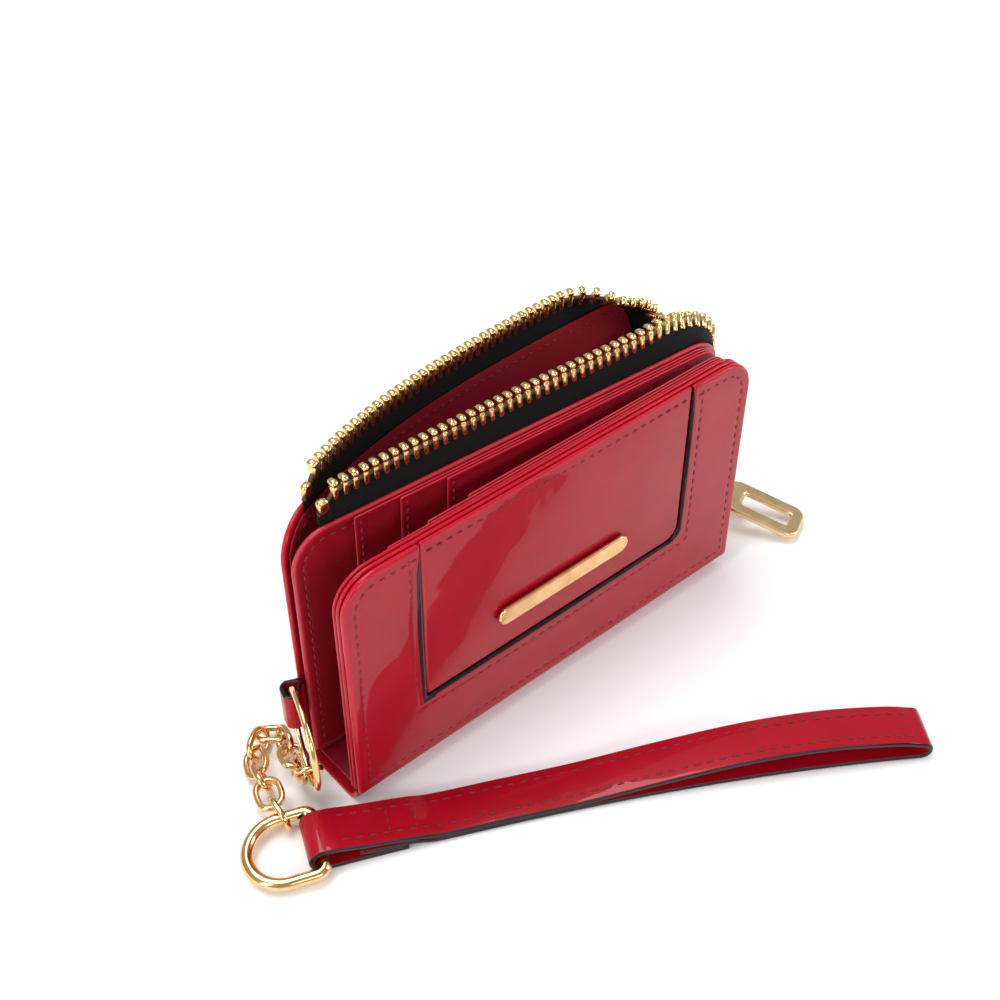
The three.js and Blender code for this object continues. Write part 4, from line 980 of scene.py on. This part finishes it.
class WALLET_OT_card_slots(bpy.types.Operator):
    """Builds the two sets of three card slots with their folded mouths"""

    bl_idname = "wallet.card_slots"
    bl_label = "Card Slots"

    def execute(self, context):
        sets = (
            ("front_wall", front_wall, -1.0, WALL_T / 2, HEIGHT, "wallet"),
            ("flap", flap_wall, 1.0, FLAP_T / 2 + GAP + FLAP_LINING_T, FLAP_HEIGHT, "flap"),
        )
        for prefix, wall, side, base, height, body in sets:
            for i, mouth in enumerate(SLOT_EDGES):
                shift = base + GAP + SLOT_T / 2 + i * (SLOT_T + GAP)
                box = (mouth, SLOT_RIGHT, SLOT_FOOT, height - 0.4)
                radii = (0.6, 0.6, CORNER - 2.6, 0.6)
                line = np.array([[mouth + SLOT_SEAM, SLOT_FOOT + 1], [mouth + SLOT_SEAM, height - 1.4]])
                sewn_panel(f"{prefix}_slot_{i + 1}", wall, shift, side, box, radii, SLOT_T,
                           ["inner leather", "inner edge"], body, f"{prefix}_card_slot_{i + 1}",
                           "leather_dark_red", seam=SLOT_SEAM, groove=0.05, route=line, paint=0.5, pitch=2.3)
        return {"FINISHED"}


class WALLET_OT_spine(bpy.types.Operator):
    """Folds the spine leather and its lining under the walls"""

    bl_idname = "wallet.spine"
    bl_label = "Spine"

    def execute(self, context):
        def place(y, across, z):
            return np.stack([across, y, z], -1)

        turn = np.linspace(0, math.pi / 2, 14)
        (fy, fz), front_r = (-8.7, 4.5), 3.9              # the fold up into the flap
        (by, bz), back_r, inner_r = (3.6, 3.5), 2.9, 1.75  # the fold up into the back cover, and its lining's
        fold_top, spine_t, lining_t = 3.85, 1.2, 0.5
        front = [(fy - front_r * math.cos(a), fz - front_r * math.sin(a)) for a in turn]
        land = [(y, 0.6) for y in np.arange(-7.5, 3.0, 1.5)]
        back = [(by + back_r * math.sin(a), bz - back_r * math.cos(a)) for a in turn] + [(6.5, fold_top)]
        # the spine's long edges take the brighter red, a painted highlight on the rounded edge
        points, faces, tint = band(front + land + back, WIDTH, spine_t, place, 0.4)
        spine = make_piece("spine_leather", points, faces, ["patent red", "turned edge"], None,
                           ("spine", "flap_fold"), "patent_red", tint)
        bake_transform(spine)
        inner = [(y, 1.75) for y in np.arange(-8.2, 3.4, 1.4)]
        inner += [(by + inner_r * math.sin(a), bz - inner_r * math.cos(a)) for a in turn] + [(5.35, fold_top)]
        # the lining's long edges take the brighter leather colour, a painted highlight on the edge
        points, faces, tint = band(inner, WIDTH - 4, lining_t, place, 0.22)
        make_piece("spine_lining_leather", points, faces, ["inner leather", "inner edge"], "wallet",
                   ("spine_lining",), "leather_dark_red", tint)
        return {"FINISHED"}


class WALLET_OT_flap(bpy.types.Operator):
    """Builds the flap: cover, lining, U-shaped frame, padded pocket and plain badge"""

    bl_idname = "wallet.flap"
    bl_label = "Flap, Pocket and Badge"

    def execute(self, context):
        box = full(FLAP_HEIGHT)
        sewn_panel("flap_cover_leather", flap_wall, 0.0, -1.0, box, WALL_RADII, FLAP_T,
                   ["patent red", "turned edge"], "flap", "flap_cover", "patent_red")
        sewn_panel("flap_lining_leather", flap_wall, FLAP_T / 2 + GAP + FLAP_LINING_T / 2, 1.0, box, WALL_RADII,
                   FLAP_LINING_T, ["inner leather", "turned edge"], "flap", "flap_lining",
                   "leather_dark_red", seam=LINING_SEAM, groove=0.07)
        self.frame_piece()
        self.pocket()
        self.badge()
        return {"FINISHED"}

    def frame_piece(self):
        """The frame: from outline point O to opening point I, P = O + (I - O) w, rounded at both edges."""
        place = off_wall(flap_wall, FLAP_T / 2 + GAP + FRAME_T / 2, -1.0)
        hole, top, knots = HALF - FRAME_SIDE, FLAP_HEIGHT, 40
        foot_round, notch, corner = 0.4, 0.8, 4.0      # radii of the foot and of the opening's two corners
        shoulder, neck = top - CORNER, top - 2 * CORNER
        stretches = (
            (straight((-hole, top), (CORNER - HALF, top), 16), straight((-hole, top), (-hole, shoulder), 16)),
            (quarter((CORNER - HALF, shoulder), CORNER, 1, 14), straight((-hole, shoulder), (-hole, neck), 14)),
            (straight((-HALF, shoulder), (-HALF, foot_round), knots),
             straight((-hole, neck), (-hole, FRAME_FOOT + notch), knots)),
            (quarter((foot_round - HALF, foot_round), foot_round, 2, 8),
             quarter((notch - hole, FRAME_FOOT + notch), notch, 2, 8)),
            (straight((foot_round - HALF, 0.0), (HALF - foot_round, 0.0), 60),
             straight((notch - hole, FRAME_FOOT), (hole - corner, FRAME_FOOT), 60)),
            (quarter((HALF - foot_round, foot_round), foot_round, 3, 12),
             quarter((hole - corner, FRAME_FOOT + corner), corner, 3, 12)),
            (straight((HALF, foot_round), (HALF, shoulder), knots),
             straight((hole, FRAME_FOOT + corner), (hole, neck), knots)),
            (quarter((HALF - CORNER, shoulder), CORNER, 0, 14), straight((hole, neck), (hole, shoulder), 14)),
            (straight((HALF - CORNER, top), (hole, top), 16), straight((hole, shoulder), (hole, top), 16)),
        )
        outer, inner = (np.concatenate([part[k][min(i, 1):] for i, part in enumerate(stretches)])
                        for k in (0, 1))
        span = np.linalg.norm(inner - outer, axis=1)
        d = np.array([0, 0.05, 0.15, 0.3, 0.5, 0.8, 1.2, 1.8, 2.5, 2.8, 3.0, 3.2, 3.5, 4.5, 6.0])
        shrink = np.minimum(1, np.maximum(span, 0.05) / 13)[:, None]
        near = d[None, :] * shrink
        span = np.maximum(span, 0.05)[:, None]
        middle = near[:, -1:] + (span - 2 * near[:, -1:]) * np.linspace(0, 1, 8)[None, 1:-1]
        reach = np.concatenate([near, middle, span - near[:, ::-1]], axis=1)
        frac = reach / span
        depth = np.minimum(reach, span - reach)
        half = FRAME_T / 2 * np.sqrt(1 - (1 - np.clip(depth / 0.8, 0, 1)) ** 2)
        half = np.maximum(half, 0.02) - 0.05 * shrink * np.exp(-((depth - 3.0 * shrink) / 0.3) ** 2)
        columns = frac.shape[1]
        flat = outer[:, None] + (inner - outer)[:, None] * frac[..., None]
        front = place(flat[..., 0], flat[..., 1], half)
        back = place(flat[..., 0], flat[..., 1], -half)
        ring = np.concatenate([front, back[:, ::-1]], axis=1)
        n, k = len(outer), 2 * columns
        rim, left_side = 5, 76      # columns in the turned rim, rows down the left side and round its foot
        tint = np.zeros((n - 1, k), int)
        # tint 1 on the outer rim columns: the brighter red, a painted highlight on the rounded edge; tint 2 by the
        # opening is the black edge paint
        tint[:, :rim] = 1
        tint[:, k - rim:] = 1
        tint[:, columns - rim - 1:columns + rim] = 2
        tint[:left_side, columns - rim - 3:columns + rim] = 2
        tints = tint.ravel().tolist() + [1, 1]
        make_piece("flap_frame_leather", ring.reshape(-1, 3), capped(n, k),
                   ["patent red", "turned edge", "edge paint"], "flap", ("flap_frame",), "patent_red", tints)
        looks = bpy.context.scene.wallet_looks
        lift = FRAME_T / 2 - 0.08
        outline = rounded_loop(full(FLAP_HEIGHT), WALL_RADII, COVER_SEAM)
        bend = [(hole + 1 + 2 * math.sin(a), FRAME_FOOT - 1 - 2 * math.cos(a)) for a in np.linspace(0, 1.57, 6)]
        opening = np.array([(-hole - 3, top - 1.5), (-hole - 3, FRAME_FOOT - 3), (hole + 1, FRAME_FOOT - 3),
                            *bend, (hole + 3, top - 1.5)])

        def over_pocket(x, z):
            return (z > top - 4.5) & (np.abs(x) < hole)

        for k, (route, closed, skip) in enumerate(((outline, True, over_pocket), (opening, False, None))):
            row = stitches(place, route, lift, looks.stitch_pitch, closed=closed, skip=skip)
            make_piece(f"flap_frame_thread_{k + 1}", *row, ["red thread"], "flap", slot="patent_red")

    def pocket(self):
        """The pocket's front: crown = 0.6 (1 - |x/a|^3)(1 - |2v - 1|^3), flat at its sewn edges."""
        a = HALF - FRAME_SIDE - GAP
        foot = FRAME_FOOT + GAP
        box = (-a, a, foot, FLAP_HEIGHT)

        def crown(x, z):
            v = np.clip((z - foot) / (FLAP_HEIGHT - foot), 0, 1)
            return POCKET_PUFF * (1 - np.clip(np.abs(x / a), 0, 1) ** 3) * (1 - np.abs(2 * v - 1) ** 3)

        place = off_wall(flap_wall, FLAP_T / 2 + GAP + POCKET_T / 2, -1.0)
        points, faces, tint = slab(place, box, (0.8, 4.0, 0.5, 0.5), POCKET_T, crown=crown, paint=0.6)
        make_piece("flap_pocket_leather", points, faces, ["patent red", "turned edge"], "flap",
                   ("flap_pocket",), "patent_red", tint)
        hem = np.array([(-a + 1, FLAP_HEIGHT - 3.0), (a - 1, FLAP_HEIGHT - 3.0)])
        row = stitches(place, hem, POCKET_T / 2 + 0.12, bpy.context.scene.wallet_looks.stitch_pitch)
        make_piece("flap_pocket_thread", *row, ["red thread"], "flap", slot="patent_red")

    def badge(self):
        """A slim bar with round ends and softened edges, on two posts."""
        half_length, half_height, thickness = 20, 2.5, 1.2
        z0 = FLAP_FOOT + FRAME_FOOT + 12.0
        y0 = FLAP_PLANE - FLAP_T / 2 - GAP - POCKET_T - POCKET_PUFF - GAP - 0.6

        def place(x, z, off):
            return np.stack([x, y0 - np.asarray(off), z0 + np.asarray(z)], -1)

        bar = (-half_length, half_length, -half_height, half_height)
        parts = [slab(place, bar, (half_height,) * 4, thickness, edge=0.45, along=30, upright=2, arc=12)[:2]]
        for x in (-13.0, 13.0):
            parts.append(tube([(x, y0 + d, z0) for d in (0.2, 1.0, 1.8, 2.2)], 0.7, False, 16))
        make_piece("flap_badge_gold", *gather(parts), ["light gold"], "flap", ("flap_badge",), "gold_metal")


class WALLET_OT_zip(bpy.types.Operator):
    """Builds the zip: tapes, beaded edges, teeth, stops, slider and pull"""

    bl_idname = "wallet.zip"
    bl_label = "Zip"

    def execute(self, context):
        for which in ("back", "front"):
            rows = [
                make_piece(f"zip_tape_{which}_cloth", *zip_tape(which), ["black tape"], "wallet",
                           (f"zip_tape_{which}",), "tape_black"),
                make_piece(f"zip_teeth_{which}_gold", *zip_teeth(which), ["zip gold"], "wallet",
                           (f"zip_teeth_{which}",), "gold_metal"),
                make_piece(f"zip_top_stop_{which}_gold", *top_stop(which), ["zip gold"], "wallet",
                           (f"zip_top_stop_{which}",), "gold_metal"),
                make_piece(f"zip_bead_{which}", *zip_bead(which), ["dark cord"], "wallet", slot="tape_black"),
            ]
            if which == "back":
                for piece in rows:
                    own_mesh(piece)
        stop = frame["nodes"]["zip_bottom_stop"]
        stop.data.materials.clear()
        stop.data.materials.append(finish_of("zip gold"))
        self.slider()
        self.pull()
        return {"FINISHED"}

    def slider(self):
        """Rounded outer plate, two side flanges and the wedge between the rows."""
        def facing_out(x):
            """Places on a plane that faces along X, x out from the rows."""
            def place(a, b, off):
                return np.stack([ROW_X + x + np.asarray(off), MID + np.asarray(a), SLIDER_Z + np.asarray(b)], -1)
            return place

        def facing_back(y):
            """Places on a plane that faces along Y, y back from the zip's middle."""
            def place(a, b, off):
                return np.stack([ROW_X + np.asarray(a), MID + y + np.asarray(off), SLIDER_Z + np.asarray(b)], -1)
            return place

        parts = [slab(facing_out(2.5), (-5.1, 5.1, -5.5, 5.5), (2.2, 2.2, 3.6, 3.6), 1.2, edge=0.5,
                      along=12, upright=12, arc=8)[:2]]
        for side in (-1, 1):
            parts.append(slab(facing_back(side * 4.65), (-2.0, 2.4, -4.6, 4.6), (1.4, 0.3, 0.3, 1.4), 0.9,
                              edge=0.35, along=6, upright=10, arc=6)[:2])
        parts.append(slab(facing_back(0.0), (-1.2, 2.3, 2.5, 5.3), (0.8, 0.2, 0.2, 0.8), 1.2, edge=0.5,
                          along=5, upright=5, arc=5)[:2])
        make_piece("zip_slider_gold", *gather(parts), ["light gold"], "slider", ("zip_slider",), "gold_metal")
        x0, x1, h, r = 3.0, 6.7, 3.4, 1.4
        path = [(x0, -h), (x0 + 1, -h), (x1 - r, -h)]
        path += [(x1 - r + r * math.sin(a), -h + r - r * math.cos(a)) for a in np.linspace(0, 1.57, 7)[1:]]
        path += [(x1 - r + r * math.cos(a), h - r + r * math.sin(a)) for a in np.linspace(0, 1.57, 7)]
        path += [(x0 + 1, h), (x0, h)]
        path = [(ROW_X + x, MID, SLIDER_Z + z) for x, z in path]
        bail = tube(path, 0.52, False, 16, plane=(0, 1, 0), across=1.5)
        make_piece("slider_bail_gold", *bail, ["light gold"], "slider", ("slider_bail",), "gold_metal")

    def pull(self):
        """A plate between a tapered outline and a slot, with an eye at its near end."""
        turn, droop = math.radians(-64), math.radians(13.5)
        eye_reach, eye_r, eye_wire, plate_half = 6.7, 2.2, 0.58, 0.9
        ux = np.array([math.cos(turn) * math.cos(droop), math.sin(turn) * math.cos(droop), -math.sin(droop)])
        uy = np.array([-math.sin(turn), math.cos(turn), 0.0])
        uz = np.cross(ux, uy)
        centre = np.array([ROW_X + eye_reach, MID, SLIDER_Z])
        counts = dict(along=24, upright=10, arc=10)
        outline = rounded_loop((2.9, 27.0, -6.0, 6.0), (5.6, 3.2, 3.2, 5.6), 0.0, **counts)
        slot = rounded_loop((10.0, 23.4, -2.5, 2.5), (1.0, 1.0, 1.0, 1.0), 0.0, **counts)
        w = np.array([0, 0.02, 0.07, 0.14, 0.24, 0.38, 0.5, 0.62, 0.76, 0.86, 0.93, 0.98, 1.0])
        flat = outline[:, None] * (1 - w[None, :, None]) + slot[:, None] * w[None, :, None]
        half = plate_half * np.sqrt(1 - (1 - np.clip(np.minimum(w, 1 - w) / 0.17, 0, 1)) ** 2)
        ring = np.concatenate([np.dstack([flat, np.broadcast_to(half, flat.shape[:2])]),
                               np.dstack([flat, np.broadcast_to(-half, flat.shape[:2])])[:, -2:0:-1]], axis=1)
        shape = ring.reshape(-1, 3)
        faces = lattice(len(outline), ring.shape[1], True, True).tolist()
        a = np.arange(40) * 2 * math.pi / 40
        eye = tube(np.stack([eye_r * np.cos(a), eye_r * np.sin(a), 0 * a], -1), eye_wire, True, 14, across=1.5)
        points, faces = gather([(shape, faces), eye])
        points = centre + points[:, 0:1] * ux + points[:, 1:2] * uy + points[:, 2:3] * uz
        make_piece("zip_pull_gold", points, faces, ["satin gold"], "pull", ("zip_pull",), "gold_metal")


class WALLET_OT_chain(bpy.types.Operator):
    """Builds the side tab, the thin ring, the chain and the D-ring"""

    bl_idname = "wallet.chain"
    bl_label = "Tab, Ring and Chain"

    def execute(self, context):
        far = FOLD[:2] + HEADING[:2] * 1.33
        r = 1.72
        route = [(-60.4, MID + 0.6), (-61.6, MID + 1.0)]
        route += [(FOLD[0] + r * math.cos(a), FOLD[1] + r * math.sin(a)) for a in np.linspace(1.4, 3.0, 7)]
        route += [(far[0] + r * math.cos(a), far[1] + r * math.sin(a)) for a in np.linspace(3.3, 5.5, 9)]
        route += [(-61.6, MID - 0.9), (-60.4, MID - 0.6)]
        path = smooth_line(route, 70)

        def place(x, across, y):
            return np.stack([x, y, FOLD[2] + across], -1)

        points, faces, tint = band(path, TAB_W, TAB_T, place, 0.35)
        make_piece("side_tab_leather", points, faces, ["patent red", "edge paint"], "wallet", ("side_tab",),
                   "patent_red", tint)
        a = np.arange(160) * 2 * math.pi / 160
        upright = np.array([0, 0, 1.0])
        centres = RING_CENTRE + RING_R * (np.cos(a)[:, None] * -HEADING + np.sin(a)[:, None] * upright)
        ring = tube(centres, RING_WIRE, True, 16, plane=np.cross(HEADING, [0, 0, 1.0]))
        make_piece("tab_ring_gold", *ring, ["light gold"], "ring", ("tab_ring",), "gold_metal")
        for i in range(len(ROLLS)):
            make_piece(f"chain_link_{i + 1}_gold", *chain_link(i), ["light gold"], f"link_{i + 1}",
                       (f"chain_link_{i + 1}",), "gold_metal")
        loop = tube(d_ring_path(), D_RING_WIRE, True, 24, plane=np.cross(BOWWARD, BARWARD))
        make_piece("d_ring_gold", *loop, ["light gold"], "d_ring", ("d_ring",), "gold_metal")
        return {"FINISHED"}


class WALLET_OT_strap(bpy.types.Operator):
    """Builds the looped wrist strap with painted edges and two rows of stitching"""

    bl_idname = "wallet.strap"
    bl_label = "Wrist Strap"

    def execute(self, context):
        looks = context.scene.wallet_looks
        points, faces, tint = band(strap_path(), STRAP_W, STRAP_T, on_strap, 0.45)
        make_piece("wrist_strap_leather", points, faces, ["patent red", "edge paint"], "strap",
                   ("wrist_strap",), "patent_red", tint)

        def on_top(u, across, off):
            return on_strap(u, across, strap_top(u) + np.asarray(off))

        rows = []
        for side in (-1, 1):
            route = np.array([(u, side * STRAP_SEAM) for u in np.arange(4, 141, 1.0)])
            rows.append(stitches(on_top, route, THREAD_LIFT, looks.stitch_pitch + 0.3))
        for u in (15.5, 21.5):
            rows.append(stitches(on_top, np.array([(u, -3.2), (u, 3.2)]), THREAD_LIFT, 2.1))
        make_piece("wrist_strap_thread", *gather(rows), ["red thread"], "strap", slot="patent_red")
        return {"FINISHED"}


class WALLET_PT_panel(bpy.types.Panel):
    """Lists the wallet's looks and the steps that build it"""

    bl_idname = "WALLET_PT_panel"
    bl_label = "Zip Around Wallet"
    bl_space_type = "VIEW_3D"
    bl_region_type = "UI"
    bl_category = "Wallet"

    def draw(self, context):
        looks = context.scene.wallet_looks
        for name in ("patent_deep", "patent_bright", "gold_deep", "gold_bright", "stitch_pitch", "key_power"):
            self.layout.prop(looks, name)
        for step in STEPS:
            self.layout.operator(step.bl_idname)


STEPS = (WALLET_OT_stage, WALLET_OT_walls, WALLET_OT_card_slots, WALLET_OT_spine, WALLET_OT_flap,
         WALLET_OT_zip, WALLET_OT_chain, WALLET_OT_strap)
CLASSES = (WalletLooks, *STEPS, WALLET_PT_panel)


def register():
    """Adds the classes and the scene's looks."""
    for cls in CLASSES:
        bpy.utils.register_class(cls)
    bpy.types.Scene.wallet_looks = bpy.props.PointerProperty(type=WalletLooks)


def unregister():
    """Takes them away again, last first."""
    del bpy.types.Scene.wallet_looks
    for cls in reversed(CLASSES):
        bpy.utils.unregister_class(cls)


def main():
    """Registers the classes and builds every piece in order."""
    register()
    bpy.ops.wallet.stage()
    bpy.ops.wallet.walls()
    bpy.ops.wallet.card_slots()
    bpy.ops.wallet.spine()
    bpy.ops.wallet.flap()
    bpy.ops.wallet.zip()
    bpy.ops.wallet.chain()
    bpy.ops.wallet.strap()


if __name__ == "__main__":
    main()
